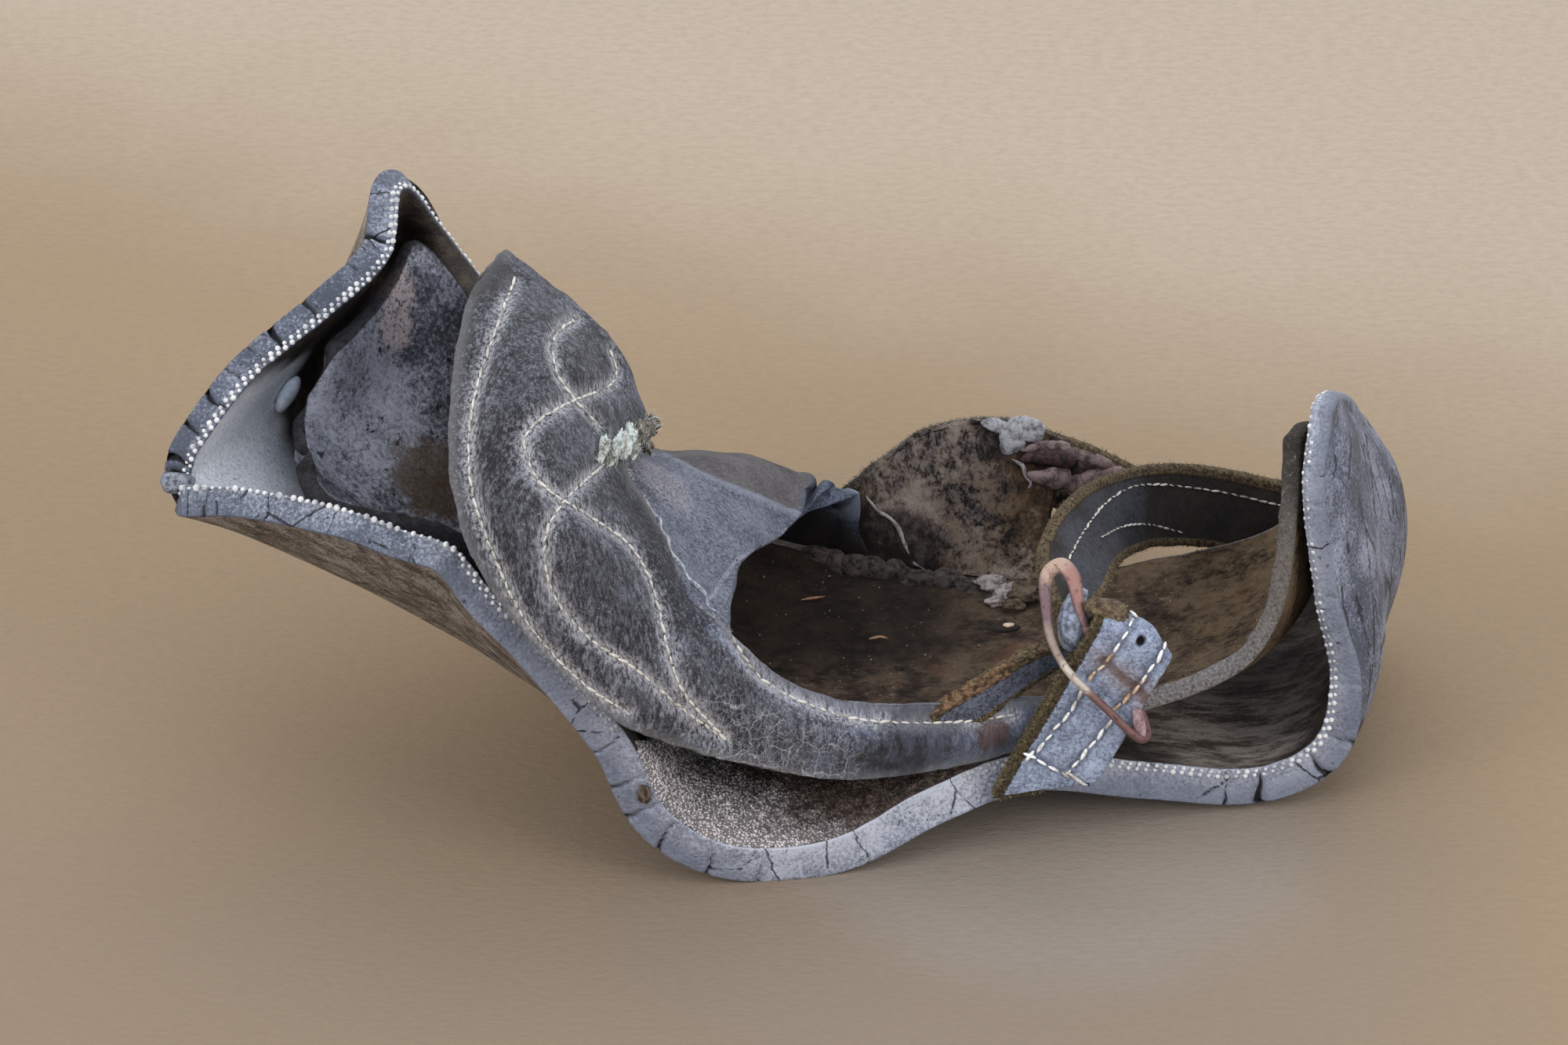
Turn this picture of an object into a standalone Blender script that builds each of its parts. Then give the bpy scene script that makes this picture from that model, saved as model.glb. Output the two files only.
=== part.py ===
"""A buckled strap sandal, dried out and curled: toe and heel have risen off the ground.

Metres, +Z up. X runs along the shoe from the toe point (-X) to the heel (+X), and -Y is the
buckle side. The sole stands on Z = 0 on two flat worn places, one under the ball and one
under the heel.
"""
from collections import namedtuple
import math

import bmesh
import bpy
from mathutils import Vector

# Size of the curled shoe
SPAN = 0.200
WIDTH = 0.100
RISE = 0.100

# Thickness of each material
OUTSOLE_THICKNESS = 0.0062
OUTSOLE_TOE_THICKNESS = 0.0048
FLOOR_WEAR = 0.0005
INSOLE_THICKNESS = 0.0030
LEATHER_THICKNESS = 0.0024

# Gaps between pieces that lie on each other
SEAT_GAP = 0.0004
FOOT_LIFT = 0.0020

# Rear strap, buckle tab and buckle
STRAP_WIDTH = 0.0125
TAB_WIDTH = 0.0130
TAB_THICKNESS = 0.0020
TAB_LENGTH = 0.0270
TAB_RETURN = 0.0150
TAB_FOOT_SLANT = 0.0055
BUCKLE_WIRE_RADIUS = 0.0008
BUCKLE_WIRE_GAP = 0.0005

# Height of the tread's upper face where the shoe stands
STAND = OUTSOLE_THICKNESS - FLOOR_WEAR


def place(along, out, up, base=STAND):
    """A point from shares, in percent, of the span, the width and the rise above base."""
    return Vector((along * SPAN, out * WIDTH, up * RISE)) / 100 + Vector((0, 0, base))


# Sections of the outsole's upper face from the toe point to the heel: the near rim, the
# near wall, the keel, the far wall and the far rim, each as (along, out, up)
Sole = namedtuple("Sole", "near near_wall keel far_wall far")
OUTSOLE_SECTIONS = [
    Sole((-47.5, -17, 51), (-47.2, -15, 50), (-47, -12, 49.6), (-46.8, -12, 51.5), (-46.5, -12, 54)),
    Sole((-42.3, -22, 53.3), (-42.1, -17, 48), (-42, -10, 44), (-42.8, 5, 47.5), (-42.1, -4, 62.8)),
    Sole((-34, -33, 55.7), (-33.5, -24, 45), (-33, -12, 36), (-38, 26, 44), (-35.7, 8, 68.5)),
    Sole((-30, -37.5, 55), (-29.5, -25.5, 41.2), (-28.5, -10, 30), (-35, 36, 48), (-31.4, 20, 71.8)),
    Sole((-25.8, -41, 53.6), (-25.3, -27, 37), (-23, -10, 23.5), (-31, 45, 52), (-30.4, 32, 77.6)),
    Sole((-22.8, -43.5, 47), (-22, -27, 31), (-19.6, -8, 18.5), (-26.5, 35, 42), (-27.4, 39, 66.5)),
    Sole((-19, -45, 39.5), (-18.3, -26, 24.5), (-16, -6, 13), (-21.4, 21, 29.7), (-24, 43.5, 54)),
    Sole((-12.5, -46, 22.9), (-11.2, -23.4, 12.5), (-9.5, -1, 4.5), (-13.9, 22.2, 14.7), (-16.5, 45, 32)),
    Sole((-9.1, -46, 8.5), (-7.2, -22.8, 3.2), (-5, 0, 0.5), (-7.9, 23.1, 7), (-10, 45.5, 19)),
    Sole((-4, -44.7, 1.4), (-2.5, -22.3, 0.4), (-1, 0, 0), (-2.1, 22.7, 2.5), (-3, 45, 10)),
    Sole((3.7, -41.5, 0.6), (3.9, -20.7, 0.1), (4, 0, 0), (4.5, 21.6, 1.3), (5, 43, 5.5)),
    Sole((11.2, -36, 6.5), (11.4, -18, 2.8), (11.5, 0, 1), (12, 19, 1.8), (12.5, 38, 3.5)),
    Sole((19, -29.5, 9.3), (19.2, -14.9, 4.4), (19.5, 0, 2.5), (20, 16.5, 2.5), (20.5, 33, 3.5)),
    Sole((29.5, -24, 4.3), (29.7, -11, 1.4), (30, 2, 0.5), (30.5, 17, 0.8), (31, 32, 2)),
    Sole((37.5, -21, 1.6), (37.8, -9, 0.3), (38, 3, 0), (38.5, 18, 0.5), (39, 33, 2)),
    Sole((42.2, -19.7, 6), (43, -7.4, 4.9), (43.5, 5, 4.5), (44.2, 19, 5.4), (44.5, 33, 7)),
    Sole((43.4, -18.5, 16.7), (44.8, -6.4, 15.7), (45.2, 6, 15), (46.7, 18.9, 15.4), (47.2, 32, 16)),
    Sole((42.2, -17.2, 30), (43.9, -5.8, 30.1), (44.7, 6, 30), (46.5, 17.8, 28.6), (47.3, 30, 27)),
    Sole((41, -15, 50), (42.3, -5.1, 49), (43.2, 5, 46.5), (44.5, 15.4, 42), (45.5, 26, 36.5)),
    Sole((41.7, -8, 60), (42.2, -2, 58), (42.7, 4, 55), (43.4, 9, 52), (44.1, 14, 48.5)),
]

# The sole is thin as far as the first share of its length and full from the second
TOE_THIN_TO = 0.20
BALL_FULL_FROM = 0.36

# Sections of the insole's upper face, above its seat on the outsole
INSOLE_SECTIONS = [
    Sole((-37.8, -4, 47.6), (-38, -1, 48.3), (-38.1, 1, 49.3), (-38, 3, 50.3), (-37.9, 5, 51.3)),
    Sole((-36, -20, 47.8), (-35.8, -12, 44), (-35.2, -4, 42.3), (-35.8, 4, 48.3), (-35.5, 5.5, 59)),
    Sole((-31, -29, 49.7), (-30.6, -20.3, 42), (-30, -9, 35), (-32.4, 9, 47), (-33, 14, 60.3)),
    Sole((-28, -31, 49.7), (-27.4, -21, 38.5), (-26.6, -9, 30.6), (-29.6, 14, 47), (-30.9, 22, 62.8)),
    Sole((-25, -33, 47.5), (-24.3, -22.7, 35.5), (-23, -8, 26.3), (-26.4, 16, 44), (-29, 29, 66)),
    Sole((-19, -36.5, 37.3), (-18.1, -21.8, 24), (-16, -5, 14.4), (-19.6, 16.8, 29.5), (-21.8, 30.5, 44)),
    Sole((-12.5, -37, 23), (-11.1, -19.9, 12.5), (-9, 0, 5.3), (-12.3, 18, 14.4), (-14.6, 32, 24)),
    Sole((-5, -36, 12.4), (-4.1, -19, 4.9), (-3, 0, 0.9), (-4.5, 18, 5.1), (-5.5, 34, 10.8)),
    Sole((3.5, -33, 7.1), (3.8, -17, 2.2), (4, 0, 0.1), (4.3, 17, 1.5), (4.5, 34, 4.7)),
    Sole((11, -30, 7.1), (11.3, -15.6, 3.2), (11.5, 0, 1.3), (12, 15.5, 1.8), (12.5, 31, 3.3)),
    Sole((19, -25, 9.4), (19.3, -12.6, 5.3), (19.5, 0, 3.3), (20, 14.4, 3.1), (20.5, 29, 3.9)),
    Sole((28.5, -22, 12.9), (29.1, -9.6, 6.9), (29.5, 3, 2.9), (30.3, 15.9, 4.9), (31, 29, 7.9)),
    Sole((35.5, -20, 18.5), (37, -8.2, 13.4), (38, 4, 9.9), (38.6, 16.4, 11), (39, 29, 12.9)),
    Sole((38.2, -18.5, 27.4), (40.3, -7, 23.4), (41.5, 5, 19.9), (42.5, 16.9, 20), (43, 29, 20.4)),
    Sole((39.2, -14.5, 40.9), (40.8, -4.9, 37.9), (41.9, 5, 34.9), (42.9, 15.9, 31.4), (43.6, 26, 27.9)),
    Sole((39.6, -7, 50.4), (40.2, -2, 49.4), (40.8, 3, 47.3), (41.6, 9, 43.8), (42.3, 15, 40.3)),
]

# The near leaf of the upper, from its point over the toes back to the buckle: the lower
# edge, the crown of the leather and the upper edge
Leaf = namedtuple("Leaf", "lower crown upper")
LEAF_SECTIONS = [
    Leaf((-24.2, -14, 86), (-23, -12, 88), (-21.9, -8, 89)),
    Leaf((-25.2, -20, 84.4), (-21.2, -20, 86), (-17.5, -9, 81.2)),
    Leaf((-26, -31, 76.3), (-19.4, -33, 81.8), (-13.5, -12, 73.7)),
    Leaf((-26.2, -39, 67.9), (-18.7, -42, 74), (-10.5, -17, 60.5)),
    Leaf((-25.7, -43, 63.5), (-18.5, -45.5, 70.2), (-12.5, -26, 61)),
    Leaf((-25, -46, 58.2), (-17.8, -48.5, 64.7), (-10.7, -29, 54.9)),
    Leaf((-22, -49, 47.7), (-15.5, -49.5, 56.6), (-9.4, -33, 51.4)),
    Leaf((-18, -50, 37.4), (-12.5, -49, 44.8), (-7.5, -38, 43.5)),
    Leaf((-12.5, -49, 26), (-8, -48, 34), (-4, -41, 38)),
    Leaf((-5, -45, 17.7), (-2.5, -45, 25.2), (0, -40, 29.2)),
    Leaf((3.7, -41, 11.3), (4.4, -42, 19.1), (5.3, -38, 24)),
    Leaf((11.2, -36, 9.6), (11.5, -37, 16.5), (11.9, -34, 21.3)),
    Leaf((18, -31.5, 10.5), (18, -32, 15.5), (18, -30, 19.9)),
    Leaf((21.5, -29, 12), (21.5, -29, 15.5), (21.5, -28, 18.5)),
]
CREST_ROWS = 4

# Beyond the crest the first rows of the leaf go on over the foot and down its far side,
# and end at a place along the outsole, counted in its sections
Back = namedtuple("Back", "shoulder flank foot")
BACK_SECTIONS = [
    Back((-22.5, 10, 77.5), (-23.5, 28, 66), 5.5),
    Back((-18.5, 10, 68.5), (-20, 30, 55), 6.3),
    Back((-14.5, 10, 59), (-16.5, 30, 45), 6.85),
    Back((-11, 8, 45), (-12.5, 28, 32), 7.35),
]
BACK_FOOT_SHARE = 0.95

# The inner layer of the vamp, then the quarter on the far side: the collar edge, two points
# down the wall, and where it stands along the outsole
Wall = namedtuple("Wall", "collar high low foot")
INNER_SECTIONS = [
    Wall((-16, -40, 50), (-15, -12, 52), (-15, 18, 40), 6.3),
    Wall((-11, -35, 49), (-11.8, -12, 51.2), (-10.5, 18, 35), 7.1),
    Wall((-5, -41, 36.5), (-7.6, -10, 45), (-6.8, 18, 36), 7.8),
    Wall((-4.2, -31, 38), (-5.6, -4, 42.4), (-4.8, 21, 34), 8.2),
    Wall((-3.4, -20, 38.7), (-3.4, 3, 38.9), (-2.6, 24, 31.5), 8.6),
    Wall((-0.5, 0, 31.8), (0, 13, 30.8), (1, 28, 26.3), 9.2),
    Wall((2.4, 20, 26.3), (3, 27, 24.5), (4, 34, 19), 9.8),
    Wall((5.6, 34, 21), (5.8, 36, 16), (6, 37.5, 11.5), 10.3),
]
QUARTER_SECTIONS = [
    Wall((4.9, 39, 17.5), (4.9, 40, 14), (5.1, 40, 10.5), 10.15),
    Wall((8, 43, 21.5), (8, 40.5, 15.5), (8.2, 38.5, 10), 10.6),
    Wall((11.9, 46, 25.6), (11.6, 42, 18), (11.5, 37.5, 10), 11.1),
    Wall((18, 47, 26.6), (17.5, 43.5, 19), (17.3, 38.5, 11), 11.8),
    Wall((23, 46.8, 22.8), (22.4, 44.5, 17.5), (21.6, 41.5, 12), 12.1),
]
WALL_FOOT_SHARE = 0.96

# The rear strap is stitched to the quarter, turns behind the heel and comes forward to the
# buckle: its middle line, and how far its upper edge leans forward in degrees
Strap = namedtuple("Strap", "middle lean width")
STRAP_SECTIONS = [
    Strap((19, 47.2, 20.5), 0, 0.8),
    Strap((24, 47.2, 15.5), 0, 0.95),
    Strap((28.8, 46.4, 11.8), 0, 0.85),
    Strap((34, 44.8, 11), 0, 0.85),
    Strap((39, 43, 10.8), 0, 0.9),
    Strap((42.4, 39.5, 12.5), 0, 1),
    Strap((39.5, 36, 14.5), 0, 1),
    Strap((34.4, 32, 19), 5, 1),
    Strap((30, 26, 22.8), 12, 1),
    Strap((26.2, 14, 27.2), 28, 1),
    Strap((24, 0, 31), 45, 1),
    Strap((22.8, -12, 32), 58, 0.95),
    Strap((22.6, -19, 32), 60, 0.7),
    Strap((23.2, -28, 30.5), 50, 0.4),
]

# A narrow strap leaves the near leaf behind the collar and rises behind the buckle
KEEPER_SECTIONS = [
    Strap((12, -34, 17), 0, 0.5),
    Strap((15.5, -31.5, 20.5), 0, 0.5),
    Strap((19, -28.5, 24.2), 10, 0.5),
    Strap((22, -25, 25.5), 20, 0.45),
    Strap((25, -22, 25), 20, 0.4),
]

# The buckle tab stands on the near side of the waist: its foot, and the ways it rises and
# faces across
TAB_FOOT = (20.8, -34.6, 7.4)
TAB_RISE = Vector((0.456, 0.10, 0.88)).normalized()
TAB_ACROSS = Vector((0.86, -0.10, -0.50))

# The buckle's wire from the front of the tab round its lower corner, back between the
# layers and round its upper corner: above the tab's fold, across it and in front, in tab
# widths
BUCKLE_PATH = [
    (-0.68, 0.08, 0.54),
    (-0.85, 0.63, 0.53),
    (-0.83, 0.74, 0.35),
    (-0.66, 0.56, 0.18),
    (-0.36, 0.16, 0.18),
    (-0.13, -0.25, 0.18),
    (-0.02, -0.52, 0.17),
    (0.18, -0.74, 0.06),
    (0.40, -0.94, -0.12),
    (0.44, -1.12, -0.22),
    (0.26, -1.22, -0.18),
    (-0.03, -1.08, 0),
    (-0.30, -0.86, 0.28),
    (-0.48, -0.52, 0.52),
]


def spline_frame(points):
    """The lengths along a row of points, and the slope of the curve at each."""
    lengths = [0.0]
    for before, after in zip(points, points[1:]):
        lengths.append(lengths[-1] + max((after - before).length, 1e-6))
    slopes = []
    last = len(points) - 1
    for i in range(last + 1):
        lo, hi = max(i - 1, 0), min(i + 1, last)
        slopes.append((points[hi] - points[lo]) / (lengths[hi] - lengths[lo]))
    return lengths, slopes


def on_spline(points, lengths, slopes, at):
    """The point of the smooth curve through points at a place counted in points."""
    i = min(int(at), len(points) - 2)
    t = at - i
    gap = lengths[i + 1] - lengths[i]
    return (
        points[i] * (2 * t**3 - 3 * t**2 + 1)
        + slopes[i] * gap * (t**3 - 2 * t**2 + t)
        + points[i + 1] * (3 * t**2 - 2 * t**3)
        + slopes[i + 1] * gap * (t**3 - t**2)
    )


def smooth_at(points, at):
    lengths, slopes = spline_frame(points)
    return on_spline(points, lengths, slopes, at)


def smooth_line(points, count):
    """count points spaced evenly along the smooth curve through points."""
    lengths, slopes = spline_frame(points)
    fine = [
        on_spline(points, lengths, slopes, (len(points) - 1) * k / (8 * count))
        for k in range(8 * count + 1)
    ]
    run = [0.0]
    for before, after in zip(fine, fine[1:]):
        run.append(run[-1] + (after - before).length)
    line, k = [], 0
    for step in range(count):
        want = run[-1] * step / (count - 1)
        while k < len(run) - 2 and run[k + 1] < want:
            k += 1
        share = (want - run[k]) / max(run[k + 1] - run[k], 1e-9)
        line.append(fine[k].lerp(fine[k + 1], min(max(share, 0.0), 1.0)))
    return line


def sole_rows(sections, base):
    return [[place(*point, base=base) for point in row] for row in sections]


OUTSOLE_ROWS = sole_rows(OUTSOLE_SECTIONS, STAND)
INSOLE_BASE = STAND + SEAT_GAP + INSOLE_THICKNESS
INSOLE_ROWS = sole_rows(INSOLE_SECTIONS, INSOLE_BASE)


def on_outsole(section, share):
    """A point of the outsole's upper face, at a place along it and a share across it."""
    across = [smooth_at([row[j] for row in OUTSOLE_ROWS], section) for j in range(5)]
    return smooth_at(across, share * 4)


def foot_on_outsole(section, share, clear):
    """A point held clear of the outsole's upper face, on its inner side."""
    point = on_outsole(section, share)
    along = on_outsole(section + 0.1, share) - on_outsole(section - 0.1, share)
    across = on_outsole(section, share + 0.02) - on_outsole(section, share - 0.02)
    return point + along.cross(across).normalized() * clear


def resample(rows, columns_count, rows_count):
    """A grid of points through rows, with every row and column a smooth curve."""
    across = [smooth_line(row, columns_count) for row in rows]
    columns = [
        smooth_line([row[j] for row in across], rows_count)
        for j in range(columns_count)
    ]
    return [[column[i] for column in columns] for i in range(rows_count)]


def add_grid(bm, grid, first_column=None):
    """Faces over a grid of points; its first column can be vertices that exist already."""
    made = []
    for i, row in enumerate(grid):
        line = [] if first_column is None else [first_column[i]]
        line += [bm.verts.new(point) for point in row[len(line):]]
        made.append(line)
    for i in range(len(made) - 1):
        for j in range(len(made[0]) - 1):
            bm.faces.new((made[i][j], made[i + 1][j], made[i + 1][j + 1], made[i][j + 1]))
    return made


def finish_mesh(bm, name):
    mesh = bpy.data.meshes.new(name)
    bm.to_mesh(mesh)
    bm.free()
    mesh.shade_smooth()
    mesh.set_sharp_from_angle(angle=math.radians(40))
    return mesh


def add_object(name, mesh, collection, material=None):
    obj = bpy.data.objects.new(name, mesh)
    collection.objects.link(obj)
    if material:
        mesh.materials.append(material)
    return obj


def thicken(obj, thickness, offset):
    """A wall from an open sheet; offset -1 grows it away from the sheet's normals."""
    wall = obj.modifiers.new("wall", "SOLIDIFY")
    wall.thickness = thickness
    wall.offset = offset
    wall.use_even_offset = False


def sheet_object(name, grid, thickness, offset, collection, material=None):
    bm = bmesh.new()
    add_grid(bm, grid)
    obj = add_object(name, finish_mesh(bm, name), collection, material)
    thicken(obj, thickness, offset)
    return obj


def helper(obj):
    obj.hide_render = True
    obj.display_type = "WIRE"
    return obj


def combine(obj, other, operation, name):
    modifier = obj.modifiers.new(name, "BOOLEAN")
    modifier.operation = operation
    modifier.object = other


def principled(name, color, roughness, metallic=0.0):
    material = bpy.data.materials.new(name)
    material.use_nodes = True
    shader = material.node_tree.nodes["Principled BSDF"]
    shader.inputs["Base Color"].default_value = (*color, 1)
    shader.inputs["Roughness"].default_value = roughness
    shader.inputs["Metallic"].default_value = metallic
    return material


def strap_rows(sections):
    """Four points across each section of a strap, square to its path."""
    middles = [place(*section.middle) for section in sections]
    rows = []
    for i, section in enumerate(sections):
        path = middles[min(i + 1, len(middles) - 1)] - middles[max(i - 1, 0)]
        side = path.cross(Vector((0, 0, 1))).normalized()
        rise = side.cross(path).normalized()
        lean = math.radians(section.lean)
        edge = (rise * math.cos(lean) + side * math.sin(lean)) * STRAP_WIDTH / 2
        edge *= section.width
        rows.append([middles[i] + edge * share for share in (1, 1 / 3, -1 / 3, -1)])
    return rows


def thin_toward_toe(sole, grid):
    full = sole.vertex_groups.new(name="full_thickness")
    count = len(grid[0])
    for i in range(len(grid)):
        share = (i / (len(grid) - 1) - TOE_THIN_TO) / (BALL_FULL_FROM - TOE_THIN_TO)
        row = list(range(i * count, (i + 1) * count))
        full.add(row, min(max(share, 0.0), 1.0), "REPLACE")
    wall = sole.modifiers["wall"]
    wall.vertex_group = full.name
    wall.thickness_vertex_group = OUTSOLE_TOE_THICKNESS / OUTSOLE_THICKNESS


def build_outsole(parts, cutters):
    rubber = principled("sole_rubber", (0.085, 0.095, 0.115), 0.75)
    grid = resample(OUTSOLE_ROWS, 15, 54)
    sole = sheet_object("outsole", grid, OUTSOLE_THICKNESS, -1, parts, rubber)
    thin_toward_toe(sole, grid)
    bpy.ops.mesh.primitive_cube_add(size=1, location=(0, 0, -RISE / 2))
    ground = bpy.context.object
    ground.name = "ground"
    ground.scale = (2 * SPAN, 2 * WIDTH, RISE)
    bpy.ops.object.transform_apply(scale=True, location=False)
    for holder in list(ground.users_collection):
        holder.objects.unlink(ground)
    cutters.objects.link(helper(ground))
    combine(sole, ground, "DIFFERENCE", "worn_flat")


def build_insole(parts):
    leather = principled("insole_leather", (0.075, 0.055, 0.042), 0.9)
    grid = resample(INSOLE_ROWS, 11, 42)
    sheet_object("insole", grid, INSOLE_THICKNESS, -1, parts, leather)


def build_upper(parts, cutters):
    """The near leaf runs over the crest to the far side; the wall and straps are joined in."""
    leather = principled("upper_leather", (0.06, 0.068, 0.09), 0.7)
    leaf_rows = [[place(*point) for point in row] for row in LEAF_SECTIONS]
    leaf_grid = resample(leaf_rows, 9, 38)
    crest = [place(*LEAF_SECTIONS[i].upper) for i in range(CREST_ROWS)]
    crest_end = (crest[-1] - leaf_grid[0][-1]).length
    crest_count = 1 + sum(
        (row[-1] - leaf_grid[0][-1]).length <= crest_end for row in leaf_grid[:20]
    )
    back_rows = []
    for start, row in zip(crest, BACK_SECTIONS):
        foot = foot_on_outsole(row.foot, BACK_FOOT_SHARE, FOOT_LIFT)
        back_rows.append([start, place(*row.shoulder), place(*row.flank), foot])
    back_grid = resample(back_rows, 10, crest_count)

    bm = bmesh.new()
    made = add_grid(bm, leaf_grid)
    add_grid(bm, back_grid, [made[i][-1] for i in range(crest_count)])
    upper = add_object("upper", finish_mesh(bm, "upper"), parts, leather)
    thicken(upper, LEATHER_THICKNESS, -1)

    for name, sections, size in (
        ("inner", INNER_SECTIONS, (9, 26)),
        ("quarter", QUARTER_SECTIONS, (7, 18)),
    ):
        rows = []
        for row in sections:
            foot = foot_on_outsole(row.foot, WALL_FOOT_SHARE, FOOT_LIFT)
            rows.append([place(*row.collar), place(*row.high), place(*row.low), foot])
        join_sheet(upper, name, resample(rows, *size), cutters)
    join_sheet(upper, "rear_strap", resample(strap_rows(STRAP_SECTIONS), 4, 64), cutters)
    join_sheet(upper, "keeper", resample(strap_rows(KEEPER_SECTIONS), 4, 12), cutters)


def join_sheet(upper, name, grid, cutters):
    layer = sheet_object(name, grid, LEATHER_THICKNESS, 0, cutters)
    combine(upper, helper(layer), "UNION", name)


def tab_directions():
    """The tab's own directions: up along it, across it and out in front."""
    across = (TAB_ACROSS - TAB_RISE * TAB_ACROSS.dot(TAB_RISE)).normalized()
    return TAB_RISE, across, across.cross(TAB_RISE).normalized()


def build_tab(parts):
    """A strap doubled over the buckle's wire: the back layer, the turn and the return."""
    leather = principled("tab_leather", (0.09, 0.115, 0.155), 0.75)
    rise, across, front = tab_directions()
    turn = BUCKLE_WIRE_RADIUS + BUCKLE_WIRE_GAP + TAB_THICKNESS / 2
    foot = place(*TAB_FOOT)
    top = foot + rise * TAB_LENGTH
    path = [foot.lerp(top, share) for share in (0, 0.35, 0.7)]
    for step in range(9):
        angle = math.pi * step / 8
        outward = front * (1 - math.cos(angle)) + rise * math.sin(angle)
        path.append(top + outward * turn)
    back_again = top + front * 2 * turn
    path += [back_again - rise * TAB_RETURN * share for share in (0.35, 0.7, 1)]
    sides = (-0.5, -0.17, 0.17, 0.5)
    grid = [[point + across * TAB_WIDTH * side for side in sides] for point in path]
    for side, point in zip(sides, grid[0]):
        point -= rise * TAB_FOOT_SLANT * (0.5 - side)
    sheet_object("buckle_tab", grid, TAB_THICKNESS, 0, parts, leather)


def build_buckle(parts):
    rust = principled("buckle_wire", (0.30, 0.19, 0.16), 0.45, 0.6)
    rise, across, front = tab_directions()
    fold = place(*TAB_FOOT) + rise * TAB_LENGTH
    path = [
        fold + (rise * up + across * side + front * out) * TAB_WIDTH
        for up, side, out in BUCKLE_PATH
    ]
    closed_path = smooth_line(path + [path[0]], 49)[:-1]
    curve = bpy.data.curves.new("buckle_frame", "CURVE")
    curve.dimensions = "3D"
    curve.bevel_depth = BUCKLE_WIRE_RADIUS
    curve.bevel_resolution = 1
    spline = curve.splines.new("POLY")
    spline.points.add(len(closed_path) - 1)
    for point, at in zip(spline.points, closed_path):
        point.co = (*at, 1)
    spline.use_cyclic_u = True
    curve.materials.append(rust)
    parts.objects.link(bpy.data.objects.new("buckle_frame", curve))


def main():
    for obj in list(bpy.data.objects):
        bpy.data.objects.remove(obj)
    parts = bpy.data.collections.new("strap_sandal")
    cutters = bpy.data.collections.new("joined_and_cut")
    for collection in (parts, cutters):
        bpy.context.scene.collection.children.link(collection)
    build_outsole(parts, cutters)
    build_insole(parts)
    build_upper(parts, cutters)
    build_tab(parts)
    build_buckle(parts)


main()
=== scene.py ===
"""A buckled strap sandal, dried out and curled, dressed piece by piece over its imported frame.

Metres, +Z up. X runs from the toe point (-X) to the heel, and -Y is the buckle side.
"""
import math

import bpy
import numpy as np
from mathutils import Matrix, Vector, noise
from mathutils.bvhtree import BVHTree
from mathutils.kdtree import KDTree


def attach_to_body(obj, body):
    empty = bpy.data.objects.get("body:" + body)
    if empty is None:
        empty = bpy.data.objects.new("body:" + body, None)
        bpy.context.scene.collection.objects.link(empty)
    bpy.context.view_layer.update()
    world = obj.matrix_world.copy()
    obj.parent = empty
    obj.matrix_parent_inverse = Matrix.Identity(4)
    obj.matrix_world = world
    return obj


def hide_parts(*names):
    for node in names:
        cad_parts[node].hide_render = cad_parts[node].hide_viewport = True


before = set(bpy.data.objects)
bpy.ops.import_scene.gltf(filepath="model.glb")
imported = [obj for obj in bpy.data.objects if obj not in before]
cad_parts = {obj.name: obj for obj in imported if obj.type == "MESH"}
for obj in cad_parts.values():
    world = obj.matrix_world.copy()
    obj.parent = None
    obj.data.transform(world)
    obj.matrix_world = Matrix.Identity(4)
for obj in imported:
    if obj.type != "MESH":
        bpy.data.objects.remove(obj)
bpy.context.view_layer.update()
scene = bpy.context.scene

# The view of the photograph: level across, looking thirty degrees down from far off, with
# the middle of its frame on a point a little above the floor.
PHOTO_WIDTH = 2000
PHOTO_HEIGHT = 1333
PIXEL = 0.125e-3
LOOK_DOWN = math.radians(30)
LOOK_AT = Vector((0, 0, 0.0403))
CAMERA_AWAY = 2.5
SENSOR_WIDTH = 36

forward = Vector((0, math.cos(LOOK_DOWN), -math.sin(LOOK_DOWN)))
upward = Vector((0, math.sin(LOOK_DOWN), math.cos(LOOK_DOWN)))
eye = LOOK_AT - forward * CAMERA_AWAY
camera = bpy.data.objects.new("camera", bpy.data.cameras.new("camera"))
scene.collection.objects.link(camera)
camera.matrix_world = Matrix(
    ((1, 0, 0, eye.x), (0, upward.y, -forward.y, eye.y), (0, upward.z, -forward.z, eye.z), (0, 0, 0, 1))
)
camera.data.sensor_width = SENSOR_WIDTH
camera.data.lens = SENSOR_WIDTH * CAMERA_AWAY / (PHOTO_WIDTH * PIXEL)
camera.data.clip_start = 0.1
scene.camera = camera
scene.view_settings.view_transform = "Standard"


# The floor is a sheet of brown wrapping paper under soft studio light: a wide pale sky, a big
# lamp over the far side and a weaker one in front.
class Value:
    """A shader socket; arithmetic on it adds Math nodes."""

    def __init__(self, tree, socket):
        self.tree = tree
        self.socket = socket

    def math(self, operation, *others):
        made = self.tree.nodes.new("ShaderNodeMath")
        made.operation = operation
        for slot, term in zip(made.inputs, (self, *others)):
            if isinstance(term, Value):
                self.tree.links.new(term.socket, slot)
            else:
                slot.default_value = term
        return Value(self.tree, made.outputs[0])

    def __add__(self, other):
        return self.math("ADD", other)

    def __sub__(self, other):
        return self.math("SUBTRACT", other)

    def __rsub__(self, other):
        return self.math("MULTIPLY", -1).math("ADD", other)

    def __mul__(self, other):
        return self.math("MULTIPLY", other)

    def __truediv__(self, other):
        return self.math("DIVIDE", other)

    __radd__ = __add__
    __rmul__ = __mul__


FINEST = 0.0001


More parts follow.
